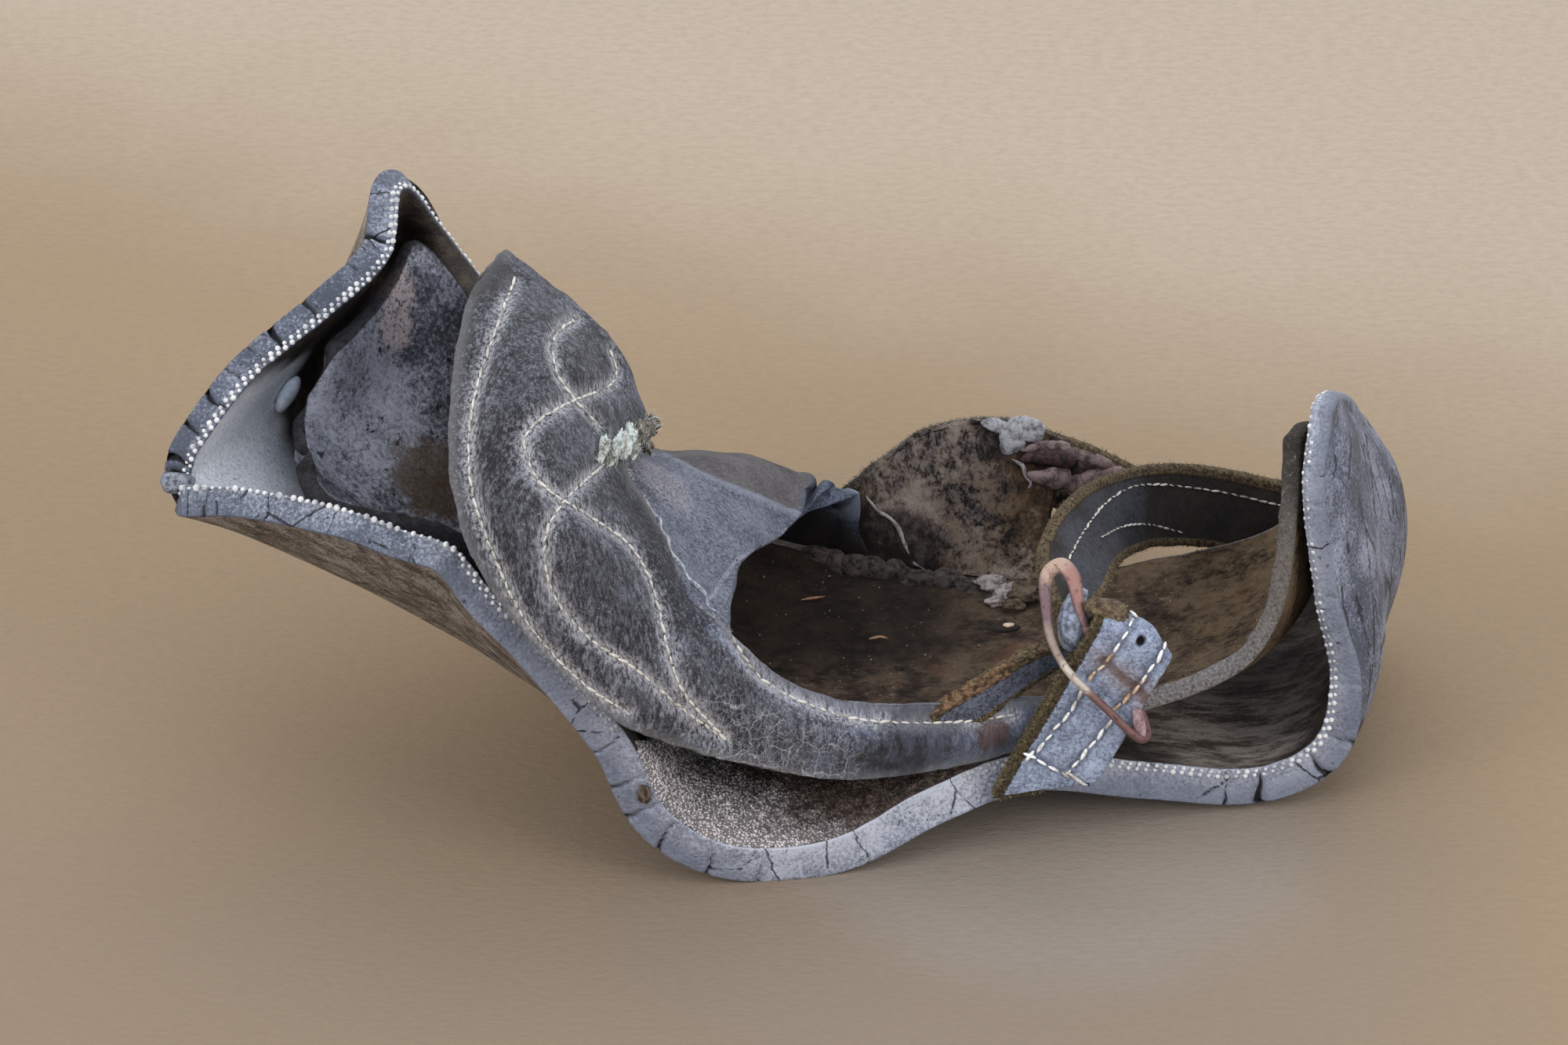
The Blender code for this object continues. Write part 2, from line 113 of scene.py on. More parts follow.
class Finish:
    """A material whose nodes all come from one method."""

    def __init__(self, name, roughness=0.8, metallic=0.0, specular=0.3, sheen=0.0):
        self.material = bpy.data.materials.new(name)
        self.material.use_nodes = True
        self.tree = self.material.node_tree
        self.shader = self.tree.nodes["Principled BSDF"]
        for socket, value in (
            ("Roughness", roughness),
            ("Metallic", metallic),
            ("Specular IOR Level", specular),
            ("Sheen Weight", sheen),
        ):
            self.shader.inputs[socket].default_value = value

    def node(self, kind, settings=None, sockets=None, out=0):
        made = self.tree.nodes.new(kind)
        for key, value in (settings or {}).items():
            setattr(made, key, value)
        for key, value in (sockets or {}).items():
            if isinstance(value, Value):
                self.tree.links.new(value.socket, made.inputs[key])
            elif isinstance(value, tuple) and made.inputs[key].type == "RGBA":
                made.inputs[key].default_value = (*value, 1)
            else:
                made.inputs[key].default_value = value
        return Value(self.tree, made.outputs[out])

    def places(self, stretch=(1, 1, 1), turn=(0, 0, 0)):
        where = self.node("ShaderNodeTexCoord", out="Object")
        return self.node("ShaderNodeMapping", {}, {"Vector": where, "Scale": stretch, "Rotation": turn})

    def attribute(self, name):
        return self.node("ShaderNodeAttribute", {"attribute_name": name}, out="Fac")

    def grain(self, size, detail=4.0, rough=0.6, where=None, warp=0.0):
        """Noise from 0 to 1 whose blotches are about size across, in metres."""
        seen = 1 + math.log2(max(size / FINEST, 1))
        sockets = {"Scale": 1 / size, "Detail": min(detail, seen), "Roughness": rough, "Distortion": warp}
        sockets["Vector"] = where or self.places()
        return self.node("ShaderNodeTexNoise", {}, sockets, out="Fac")

    def cracks(self, size, width, where=None, jitter=1.0):
        """1 on the thin lines between cells about size across, and 0 off them."""
        sockets = {"Scale": 1 / size, "Randomness": jitter, "Vector": where or self.places()}
        line = self.node("ShaderNodeTexVoronoi", {"feature": "DISTANCE_TO_EDGE"}, sockets, out="Distance")
        return self.step(line, width / size, 0.0)

    def step(self, value, low, high):
        """A soft step: 0 below low, 1 above high, or the other way round."""
        sockets = {"Value": value, "From Min": low, "From Max": high}
        return self.node("ShaderNodeMapRange", {"interpolation_type": "SMOOTHSTEP"}, sockets)

    def blend(self, factor, below, above):
        sockets = {0: factor, 6: below, 7: above}
        return self.node("ShaderNodeMix", {"data_type": "RGBA"}, sockets, out=2)

    def coat(self, factor, color):
        """Lays a colour over what the finish has so far, where factor lets it."""
        self.color = self.blend(factor, self.color, color)

    def near(self, spot, radius, rough=0.3):
        """1 close to a point of the piece, fading unevenly to 0 at a radius from it."""
        away = self.node(
            "ShaderNodeVectorMath", {"operation": "DISTANCE"}, {0: self.places(), 1: tuple(spot)}, out="Value"
        )
        ragged = away / radius + (self.grain(radius * 0.35) - 0.5) * (2 * rough)
        return self.step(ragged, 1.0, 0.55)

    def axis(self, index, of="Normal"):
        if of == "Normal":
            source = self.node("ShaderNodeNewGeometry", out="Normal")
        else:
            source = self.places()
        return self.node("ShaderNodeSeparateXYZ", {}, {0: source}, out=index)

    def finish(self, color=None, roughness=None, relief=None, depth=0.0003):
        """Links the colour, or the coats where none is given, and the relief; gives the material."""
        self.tree.links.new((color or self.color).socket, self.shader.inputs["Base Color"])
        if roughness is not None:
            self.tree.links.new(roughness.socket, self.shader.inputs["Roughness"])
        if relief is not None:
            bump = self.node("ShaderNodeBump", {}, {"Height": relief, "Distance": depth})
            self.tree.links.new(bump.socket, self.shader.inputs["Normal"])
        return self.material


FLOOR_SIZE = 6.0
# The paper is painted darker toward the front and the left and paler toward the back: painted light falloff
PAPER_FALLOFF_FAR = (0.425, 0.345, 0.262)
PAPER_FALLOFF_MIDDLE = (0.305, 0.220, 0.137)
PAPER_FALLOFF_NEAR = (0.262, 0.197, 0.137)
PAPER_FIBRE = (0.20, 0.150, 0.105)
# Painted shade: greyer spots on the paper in front of and under the sole, a place, a reach, a share and a
# colour
PAPER_SHADE_SPOTS = [
    ((0.040, -0.050, 0.0), 0.090, 0.35, (0.205, 0.178, 0.155)),
    ((0.045, -0.036, 0.0), 0.050, 0.35, (0.30, 0.285, 0.275)),
]
PAPER_FALLOFF_STEPS = ((-0.11, 0.01), (0.10, 0.22))

paper = Finish("wrapping_paper", roughness=0.95, specular=0.1)
fibres = paper.grain(0.0012, 4, 0.75, paper.places((0.5, 1, 1)))
clouds = paper.grain(0.05, 3, 0.5)
# Painted light falloff across the paper, with a little cloudy tone
painted_falloff = paper.axis(1, of="place") + paper.axis(0, of="place") * 0.40 + (clouds - 0.5) * 0.05
paper.color = paper.blend(paper.step(painted_falloff, *PAPER_FALLOFF_STEPS[0]), PAPER_FALLOFF_NEAR, PAPER_FALLOFF_MIDDLE)
paper.coat(paper.step(painted_falloff, *PAPER_FALLOFF_STEPS[1]), PAPER_FALLOFF_FAR)
# Painted shade on the paper around the sole
for spot, reach, share, tint in PAPER_SHADE_SPOTS:
    paper.coat(paper.near(spot, reach, 0.1) * share, tint)
paper.coat(paper.step(fibres, 0.35, 0.7) * 0.22, PAPER_FIBRE)
paper.finish(relief=fibres, depth=0.00025)
bpy.ops.mesh.primitive_plane_add(size=FLOOR_SIZE)
floor = bpy.context.object
floor.name = "floor"
floor.data.materials.append(paper.material)

SKY_COLOR = (0.90, 0.965, 1.08)
SKY_STRENGTH = 1.10
LAMP_COLOR = (1.0, 0.95, 0.88)
LAMPS = {
    "overhead": {"at": (-0.05, 1.20, 1.30), "size": 1.5, "power": 9.0},
    "right_fill": {"at": (1.35, -1.15, 0.95), "size": 0.9, "power": 12.0},
    "left_fill": {"at": (-1.3, -1.0, 0.8), "size": 1.0, "power": 12.0},
}

sky = bpy.data.worlds.new("sky")
sky.use_nodes = True
sky.node_tree.nodes["Background"].inputs["Color"].default_value = (*SKY_COLOR, 1)
sky.node_tree.nodes["Background"].inputs["Strength"].default_value = SKY_STRENGTH
scene.world = sky
for lamp_name, facts in LAMPS.items():
    lamp = bpy.data.objects.new(lamp_name, bpy.data.lights.new(lamp_name, "AREA"))
    lamp.data.size = facts["size"]
    lamp.data.energy = facts["power"]
    lamp.data.color = LAMP_COLOR
    lamp.location = facts["at"]
    lamp.rotation_euler = (LOOK_AT - lamp.location).to_track_quat("-Z", "Y").to_euler()
    scene.collection.objects.link(lamp)


# The outsole is one moulded sheet of rubber. It has shrunk and cracked, its toe has curled up
# and over, and a double row of moulded beads runs round the top of its edge.
SPAN = 0.200
WIDTH = 0.100
RISE = 0.100
OUTSOLE_THICKNESS = 0.0062
OUTSOLE_TOE_THICKNESS = 0.0048
FLOOR_WEAR = 0.0005
STAND = OUTSOLE_THICKNESS - FLOOR_WEAR
TOE_THIN_TO = 0.20
BALL_FULL_FROM = 0.36
OUTSOLE_ROWS = 720
OUTSOLE_COLUMNS = 36
RIM_STEPS = 14
RIM_SWELL = 0.0004
HEEL_FROM = 0.76
HEEL_FULL = 0.92
HEEL_THINS = 0.42
HEEL_SWELL = 0.0013

# Sections of its upper face from the toe point to the heel, in percent of the span, the width
# and the rise: near rim, near wall, keel, far wall and far rim
OUTSOLE_SECTIONS = [
    [(-47.5, -17, 51), (-47.2, -15, 50), (-47, -12, 49.6), (-46.8, -12, 51.5), (-46.5, -12, 54)],
    [(-42.3, -22, 53.3), (-42.1, -17, 48), (-42, -10, 44), (-42.8, 5, 47.5), (-42.1, -4, 62.8)],
    [(-34, -33, 55.7), (-33.5, -24, 45), (-33, -12, 36), (-38, 26, 44), (-35.7, 8, 68.5)],
    [(-30, -37.5, 55), (-29.5, -25.5, 41.2), (-28.5, -10, 30), (-35, 36, 48), (-31.4, 20, 71.8)],
    [(-25.8, -41, 53.6), (-25.3, -27, 37), (-23, -10, 23.5), (-31, 45, 52), (-30.4, 32, 77.6)],
    [(-22.8, -43.5, 47), (-22, -27, 31), (-19.6, -8, 18.5), (-26.5, 35, 42), (-27.4, 39, 66.5)],
    [(-19, -45, 39.5), (-18.3, -26, 24.5), (-16, -6, 13), (-21.4, 21, 29.7), (-24, 43.5, 54)],
    [(-12.5, -46, 22.9), (-11.2, -23.4, 12.5), (-9.5, -1, 4.5), (-13.9, 22.2, 14.7), (-16.5, 45, 32)],
    [(-9.1, -46, 8.5), (-7.2, -22.8, 3.2), (-5, 0, 0.5), (-7.9, 23.1, 7), (-10, 45.5, 19)],
    [(-4, -44.7, 1.4), (-2.5, -22.3, 0.4), (-1, 0, 0), (-2.1, 22.7, 2.5), (-3, 45, 10)],
    [(3.7, -41.5, 0.6), (3.9, -20.7, 0.1), (4, 0, 0), (4.5, 21.6, 1.3), (5, 43, 5.5)],
    [(11.2, -36, 6.5), (11.4, -18, 2.8), (11.5, 0, 1), (12, 19, 1.8), (12.5, 38, 3.5)],
    [(19, -29.5, 9.3), (19.2, -14.9, 4.4), (19.5, 0, 2.5), (20, 16.5, 2.5), (20.5, 33, 3.5)],
    [(29.5, -24, 4.3), (29.7, -11, 1.4), (30, 2, 0.5), (30.5, 17, 0.8), (31, 32, 2)],
    [(37.5, -21, 1.6), (37.8, -9, 0.3), (38, 3, 0), (38.5, 18, 0.5), (39, 33, 2)],
    [(42.2, -19.7, 6), (43, -7.4, 4.9), (43.5, 5, 4.5), (44.2, 19, 5.4), (44.5, 33, 7)],
    [(43.4, -18.5, 16.7), (44.8, -6.4, 15.7), (45.2, 6, 15), (46.7, 18.9, 15.4), (47.2, 32, 16)],
    [(42.2, -17.2, 30), (43.9, -5.8, 30.1), (44.7, 6, 30), (46.5, 17.8, 28.6), (47.3, 30, 27)],
    [(41, -15, 50), (42.3, -5.1, 49), (43.2, 5, 46.5), (44.5, 15.4, 42), (45.5, 26, 36.5)],
    [(41.7, -8, 60), (42.2, -2, 58), (42.7, 4, 55), (43.4, 9, 52), (44.1, 14, 48.5)],
]


def place(along, out, up, base=STAND):
    """A point from shares, in percent, of the span, the width and the rise above base."""
    return np.array((along * SPAN / 100, out * WIDTH / 100, up * RISE / 100 + base))


CURVE_STEPS = 40


def curve_at(points, at):
    """Points of the smooth curve through points, at places counted in points."""
    points = np.asarray(points, float)
    last = len(points) - 1
    gaps = np.maximum(np.linalg.norm(np.diff(points, axis=0), axis=1), 1e-6)
    lengths = np.concatenate(([0], np.cumsum(gaps)))
    high = np.minimum(np.arange(last + 1) + 1, last)
    low = np.maximum(np.arange(last + 1) - 1, 0)
    slopes = (points[high] - points[low]) / (lengths[high] - lengths[low])[:, None]
    i = np.minimum(at.astype(int), last - 1)
    t = (at - i)[:, None]
    gap = gaps[i][:, None]
    return (
        points[i] * (2 * t**3 - 3 * t**2 + 1)
        + slopes[i] * gap * (t**3 - 2 * t**2 + t)
        + points[i + 1] * (3 * t**2 - 2 * t**3)
        + slopes[i + 1] * gap * (t**3 - t**2)
    )


def smooth_line(points, shares):
    """Points of the smooth curve through points, at shares of its length."""
    last = len(points) - 1
    fine = curve_at(points, np.linspace(0, last, CURVE_STEPS * last + 1))
    run = np.concatenate(([0], np.cumsum(np.linalg.norm(np.diff(fine, axis=0), axis=1))))
    want = np.asarray(shares) * run[-1]
    return np.stack([np.interp(want, run, column) for column in fine.T], axis=1)


def resample(rows, shares_across, shares_along):
    """A grid of points through rows, with every row and column a smooth curve."""
    across = np.stack([smooth_line(row, shares_across) for row in rows])
    columns = [smooth_line(across[:, j], shares_along) for j in range(across.shape[1])]
    return np.stack(columns, axis=1)


def hump(away, reach, steepness=2):
    """1 at a line or a spot, fading to 0 over a reach from it."""
    return np.exp(-((away / reach) ** steepness))


def even(count):
    return np.linspace(0, 1, count)


def thick_at_edges(count, pull=0.7):
    """Shares that lie closer together towards both ends."""
    share = even(count)
    return share - pull * np.sin(2 * math.pi * share) / (2 * math.pi)


def unit(vectors):
    return vectors / np.maximum(np.linalg.norm(vectors, axis=-1, keepdims=True), 1e-12)


def roughness_at(points, size, seed=0.0):
    """Smooth noise from about -1 to 1, with bumps about size across, at each point."""
    shift = Vector((seed, seed * 1.7, -seed))
    return np.array([noise.noise(Vector(p) / size + shift) for p in points])


class Sheet:
    """An open sheet of leather or rubber, as a grid of points that can lack some cells."""

    def __init__(self, grid, cells=None):
        self.shape = grid.shape[:2]
        rows, columns = self.shape
        index = np.arange(rows * columns).reshape(rows, columns)
        quads = np.stack((index[:-1, :-1], index[1:, :-1], index[1:, 1:], index[:-1, 1:]), axis=-1)
        if cells is not None:
            quads = quads[cells]
        quads = quads.reshape(-1, 4)
        used, flat = np.unique(quads, return_inverse=True)
        self.used = used
        self.quads = flat.reshape(-1, 4)
        self.points = grid.reshape(-1, 3)[used]
        steps = np.linalg.norm(np.diff(grid, axis=0), axis=2)
        along = np.concatenate((np.zeros((1, columns)), np.cumsum(steps, axis=0)))
        steps = np.linalg.norm(np.diff(grid, axis=1), axis=2)
        across = np.concatenate((np.zeros((rows, 1)), np.cumsum(steps, axis=1)), axis=1)
        self.along = along.reshape(-1)[used]
        self.across = across.reshape(-1)[used]
        self.row = (used // columns) / (rows - 1)
        self.column = (used % columns) / (columns - 1)
        self.measure()

    def measure(self):
        """The sheet's normals, its border, and each point's distance from the border."""
        corner = self.points[self.quads]
        flat = np.cross(corner[:, 2] - corner[:, 0], corner[:, 3] - corner[:, 1])
        total = np.zeros_like(self.points)
        for k in range(4):
            np.add.at(total, self.quads[:, k], flat)
        self.normals = unit(total)
        pairs = np.concatenate([self.quads[:, [k, (k + 1) % 4]] for k in range(4)])
        known = set(map(tuple, pairs.tolist()))
        after = {a: b for a, b in known if (b, a) not in known}
        start = min(after)
        self.border = [start]
        while after[self.border[-1]] != start:
            self.border.append(after[self.border[-1]])
        rim = self.points[self.border]
        ahead = np.roll(rim, -1, axis=0) - np.roll(rim, 1, axis=0)
        self.outward = unit(np.cross(unit(ahead), self.normals[self.border]))
        steps = np.linalg.norm(rim - np.roll(rim, 1, axis=0), axis=1)
        steps[0] = 0
        self.run = np.cumsum(steps)
        tree = KDTree(len(rim))
        for k, point in enumerate(rim):
            tree.insert(point, k)
        tree.balance()
        self.edge = np.array([tree.find(point)[2] for point in self.points])

    def move(self, shift):
        """Moves every point along its normal."""
        self.points = self.points + self.normals * np.asarray(shift)[:, None]
        self.measure()

    def bumps(self, height, size, seed):
        """Uneven heights for its points, with bumps about size across."""
        return height * roughness_at(self.points, size, seed)

    def bvh(self):
        return BVHTree.FromPolygons(self.points.tolist(), self.quads.tolist())


def build(name, points, faces, attributes, material):
    """A piece from points and faces, with a number at each point for each attribute."""
    mesh = bpy.data.meshes.new(name)
    points = np.column_stack((points[:, :2], np.maximum(points[:, 2], 0.0)))
    mesh.from_pydata(points.tolist(), [], faces)
    for key, values in attributes.items():
        layer = mesh.attributes.new(key, "FLOAT", "POINT")
        layer.data.foreach_set("value", np.asarray(values, np.float32))
    mesh.shade_smooth()
    mesh.materials.append(material)
    piece = bpy.data.objects.new(name, mesh)
    scene.collection.objects.link(piece)
    return piece


def shell(name, sheet, thickness, material, offset=-1, steps=6, swell=0.0002, square=0.6,
          front=None, notch=None, extra=None, ragged=0.0):
    """A closed wall from a sheet: its front, its back and a rounded rim between them.

    notch gives how far the rim is cut in at each border point and each rim step; ragged cuts it
    in unevenly by up to that depth.
    """
    count = len(sheet.points)
    if ragged:
        rim_at = sheet.points[sheet.border]
        coarse = np.clip(0.45 + roughness_at(rim_at, 0.0035, 13.0), 0, 1)
        fine = [roughness_at(rim_at, 0.0009, 17.0 + 0.35 * k) for k in range(steps + 1)]
        notch = ragged * (0.7 * coarse + 0.3 + 0.45 * np.array(fine))
    thick = np.broadcast_to(np.asarray(thickness, float), (count,))
    lift = (offset + 1) / 2 * thick
    top = sheet.points + sheet.normals * (lift + (0 if front is None else front))[:, None]
    bottom = sheet.points + sheet.normals * (lift - thick)[:, None]
    border = np.array(sheet.border)
    rings = [border]
    points = [top, bottom]
    inner = np.zeros((steps + 1, len(border))) if notch is None else notch
    top[border] -= sheet.outward * inner[0][:, None]
    bottom[border] -= sheet.outward * inner[steps][:, None]
    for k in range(1, steps):
        turn = math.pi * k / steps
        share = (1 - math.cos(turn)) / 2
        out = swell * math.sin(turn) ** square - inner[k]
        ring = top[border] * (1 - share) + bottom[border] * share
        ring = ring + sheet.outward * (out + inner[0] * (1 - share) + inner[steps] * share)[:, None]
        rings.append(2 * count + (k - 1) * len(border) + np.arange(len(border)))
        points.append(ring)
    rings.append(border + count)
    faces = sheet.quads.tolist() + (sheet.quads[:, ::-1] + count).tolist()
    for upper, lower in zip(rings, rings[1:]):
        a, b = upper, np.roll(upper, -1)
        c, d = np.roll(lower, -1), lower
        faces += np.stack((b, a, d, c), axis=1).tolist()
    rim = steps - 1
    ring_depth = [(1 - math.cos(math.pi * k / steps)) / 2 for k in range(1, steps)]
    run = np.zeros(count)
    run[border] = sheet.run

    def spread(values):
        return np.concatenate((values, values, np.tile(values[border], rim)))

    attributes = {
        "along": spread(sheet.along),
        "across": spread(sheet.across),
        "edge": spread(sheet.edge),
        "run": spread(run),
        "depth": np.concatenate((np.zeros(count), np.ones(count), np.repeat(ring_depth, len(border)))),
    }
    attributes["rim"] = np.concatenate((np.zeros(2 * count), np.ones(rim * len(border))))
    attributes["rim"][border] = attributes["rim"][border + count] = 0.5
    for key, values in (extra or {}).items():
        attributes[key] = spread(values)
    if notch is not None:
        split = np.zeros(count)
        split[border] = inner[0]
        low = np.zeros(count)
        low[border] = inner[steps]
        attributes["split"] = np.concatenate((split, low, *inner[1:steps]))
    return build(name, np.concatenate(points), faces, attributes, material)


def attach(piece, slot, *stands_for):
    """The piece goes with the shoe, and the frame's parts that it stands for are hidden. Its slot is not
    used.
    """
    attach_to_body(piece, "root")
    if stands_for:
        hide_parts(*stands_for)
    return piece


def to_photo(points):
    """Where points fall in the photograph, in pixels."""
    ray = np.asarray(points, float) - np.array(eye)
    ahead = ray @ np.array(forward)
    scale = CAMERA_AWAY / (ahead * PIXEL)
    return np.stack(
        (PHOTO_WIDTH / 2 + ray[..., 0] * scale, PHOTO_HEIGHT / 2 - ray @ np.array(upward) * scale), axis=-1
    )


def seen_nearest(seen, u, v):
    """The place in some seen points of the one nearest to a pixel."""
    return int(np.argmin(np.hypot(seen[:, 0] - u, seen[:, 1] - v)))


def photo_ray(u, v):
    side = Vector(((u - PHOTO_WIDTH / 2) * PIXEL, 0, 0))
    return (forward * CAMERA_AWAY + side + upward * (PHOTO_HEIGHT / 2 - v) * PIXEL).normalized()


def on_surface(surface, u, v):
    """The point of a surface seen at a pixel, or its point nearest to that line of sight."""
    ray = photo_ray(u, v)
    hit, normal, _, _ = surface.ray_cast(eye, ray)
    if hit is not None:
        return hit, normal if normal.dot(ray) < 0 else -normal
    found = []
    for step in range(121):
        probe = eye + ray * (CAMERA_AWAY + (step - 60) * 0.0015)
        hit, normal, _, away = surface.find_nearest(probe)
        found.append((away, tuple(hit), tuple(normal)))
    _, hit, normal = min(found)
    normal = Vector(normal)
    return Vector(hit), normal if normal.dot(ray) < 0 else -normal


def seen_spots(surface, pixels):
    """The points of a surface that are seen at named pixels."""
    return {name: on_surface(surface, *pixel)[0] for name, pixel in pixels.items()}


def photo_path(surface, pixels, spacing=5.0):
    """A line on a surface that follows points of the photograph, with its facing."""
    flat = np.array([(u, v, 0.0) for u, v in pixels])
    length = np.linalg.norm(np.diff(flat, axis=0), axis=1).sum()
    seen = smooth_line(flat, even(max(int(length / spacing), 2) + 1))
    found = [on_surface(surface, u, v) for u, v, _ in seen]
    return np.array([hit for hit, _ in found]), np.array([normal for _, normal in found])


# Cracks that open across the edge: the pixel where each starts, its width and its depth
RIM_CRACKS = [
    (455, 300, 0.0009, 0.0024), (438, 330, 0.0004, 0.0008), (383, 377, 0.0008, 0.0016),
    (345, 423, 0.0010, 0.0024), (318, 440, 0.0004, 0.0009), (262, 500, 0.0007, 0.0018),
    (243, 545, 0.0006, 0.0016), (222, 585, 0.0010, 0.0030), (232, 615, 0.0009, 0.0030),
    (262, 640, 0.0006, 0.0012), (341, 665, 0.0004, 0.0008), (393, 690, 0.0004, 0.0007),
    (520, 720, 0.0003, 0.0006), (760, 960, 0.0005, 0.0009), (795, 1000, 0.0006, 0.0010),
    (815, 1040, 0.0006, 0.0010), (850, 1068, 0.0006, 0.0012), (905, 1105, 0.0005, 0.0009),
    (968, 1118, 0.0004, 0.0008), (1100, 1100, 0.0003, 0.0007), (1560, 1015, 0.0004, 0.0008),
    (1607, 1020, 0.0008, 0.0016), (1690, 990, 0.0007, 0.0014), (1725, 950, 0.0005, 0.0010),
    (1700, 870, 0.0003, 0.0006), (1690, 760, 0.0003, 0.0006), (1668, 640, 0.0003, 0.0006),
]

shares = thick_at_edges(OUTSOLE_COLUMNS)
outsole_rows = [[place(*point) for point in row] for row in OUTSOLE_SECTIONS]
outsole_grid = resample(outsole_rows, shares, even(OUTSOLE_ROWS))
sole = Sheet(outsole_grid)
full = np.clip((sole.row - TOE_THIN_TO) / (BALL_FULL_FROM - TOE_THIN_TO), 0, 1)
sole_thick = OUTSOLE_TOE_THICKNESS + (OUTSOLE_THICKNESS - OUTSOLE_TOE_THICKNESS) * full
heel = np.clip((sole.row - HEEL_FROM) / (HEEL_FULL - HEEL_FROM), 0, 1)
heel = heel * heel * (3 - 2 * heel)
sole_thick = sole_thick * (1 - HEEL_THINS * heel * hump(sole.edge, 0.005))
rim_points = sole.points[sole.border] - sole.normals[sole.border] * sole_thick[sole.border][:, None] / 2
rim_seen = to_photo(rim_points)
rim_noise = roughness_at(sole.points[sole.border], 0.004, 3.0)
notch = np.zeros((RIM_STEPS + 1, len(sole.border)))
for k in range(RIM_STEPS + 1):
    notch[k] = 0.00012 * rim_noise + 0.00006 * roughness_at(rim_points, 0.0008, k * 0.4)
for number, (u, v, width, depth) in enumerate(RIM_CRACKS):
    middle = sole.run[seen_nearest(rim_seen, u, v)]
    for k in range(RIM_STEPS + 1):
        share = k / RIM_STEPS
        bend = 0.0009 * noise.noise(Vector((number * 3.1, share * 3.0, 0.5)))
        open_by = width * (0.25 + 0.75 * share)
        gone = np.clip(1 - np.abs(sole.run - middle - bend) / open_by, 0, 1) ** 0.7
        notch[k] = np.maximum(notch[k], depth * (0.15 + 0.85 * share**0.8) * gone)

# The face of the sole is a little uneven
sole_surface = sole.bvh()
sole_front = sole.bumps(0.00012, 0.0025, 2.0)

RUBBER_DARK = (0.055, 0.064, 0.090)
RUBBER_MID = (0.125, 0.142, 0.190)
RUBBER_DUST = (0.50, 0.51, 0.56)
RUBBER_WORN_DARK = (0.105, 0.115, 0.150)
RUBBER_WORN = (0.31, 0.325, 0.385)
# The toe's inner wall is painted pale, near white, as painted light where light falls on it
TOE_WALL_PAINTED_LIGHT = (0.86, 0.87, 0.90)
UNDER_BROWN = (0.062, 0.044, 0.034)
UNDER_DUST = (0.29, 0.258, 0.232)
UNDER_RED = (0.17, 0.080, 0.050)
SOIL_DARK = (0.020, 0.015, 0.012)
SOIL_BROWN = (0.085, 0.062, 0.046)
SOIL_LIT_DARK = (0.060, 0.042, 0.030)
SOIL_LIT = (0.40, 0.34, 0.29)
HEEL_DARK = (0.055, 0.062, 0.088)
HEEL_GREY = (0.27, 0.29, 0.36)
HEEL_PAINTED_GLINTS = (0.62, 0.57, 0.58)
TOE_WALL_GREY = (0.52, 0.54, 0.60)
CRACK_DARK = (0.012, 0.012, 0.014)
# Places on the sole that its finish goes by, in pixels
SOLE_MARKS = {"wall": (292, 575), "wall_top": (350, 500), "heel_floor": (1560, 935), "heel_back": (1640, 850)}

sole_spots = seen_spots(sole_surface, SOLE_MARKS)

rubber = Finish("cracked_rubber", roughness=0.72, specular=0.4)
depth_in = rubber.attribute("depth")
rim_part = rubber.step(rubber.attribute("rim"), 0.2, 0.6)
up_facing = rubber.step(rubber.axis(2), -0.1, 0.9)
patches = rubber.grain(0.012, 5, 0.62, warp=0.6)
speckle = rubber.grain(0.00055, 5, 0.8)
x_place = rubber.axis(0, of="place")
heel_part = rubber.step(x_place, 0.078, 0.088)
worn = rubber.blend(rubber.step(patches + (speckle - 0.5) * 0.8, 0.35, 0.7), RUBBER_DARK, RUBBER_MID)
toe_end = rubber.step(x_place, -0.035, -0.065)
dusty = speckle * 0.9 + patches * 0.45 + up_facing * 0.20 - depth_in * 0.10
mid_part = rubber.step(x_place + (patches - 0.5) * 0.02, -0.016, 0.004) * rubber.step(x_place, 0.046, 0.030)
dusty = rubber.step(dusty + mid_part * 0.14 - heel_part * 0.06 - toe_end * 0.10, 0.66, 1.02)
rim_low = rubber.step(depth_in + (speckle - 0.5) * 0.7, 0.30, 0.80) * (1 - mid_part) * (1 - toe_end)
worn_back = rubber.step(patches * 0.6 + speckle * 0.7, 0.45, 0.78)
worn_back = rubber.blend(worn_back, RUBBER_WORN_DARK, RUBBER_WORN)
worn = rubber.blend(toe_end, worn_back, worn)
rim_color = rubber.blend(dusty * 0.85, worn, RUBBER_DUST)
rim_color = rubber.blend(rim_low * 0.55, rim_color, RUBBER_MID)
under_streaks = rubber.grain(0.003, 5, 0.75, rubber.places((0.5, 1.0, 0.5), (0, 0.6, 0)))
under_mix = rubber.step(under_streaks + (speckle - 0.5) * 0.9, 0.38, 0.66)
under_toe = rubber.blend(under_mix, UNDER_BROWN, UNDER_DUST)
under_toe = rubber.blend(rubber.step(rubber.grain(0.008, 4, 0.7), 0.58, 0.66) * 0.6, under_toe, UNDER_RED)
under_heel = rubber.step(patches * 0.5 + speckle * 0.5, 0.42, 0.62)
under_heel = rubber.blend(under_heel, HEEL_DARK, HEEL_GREY)
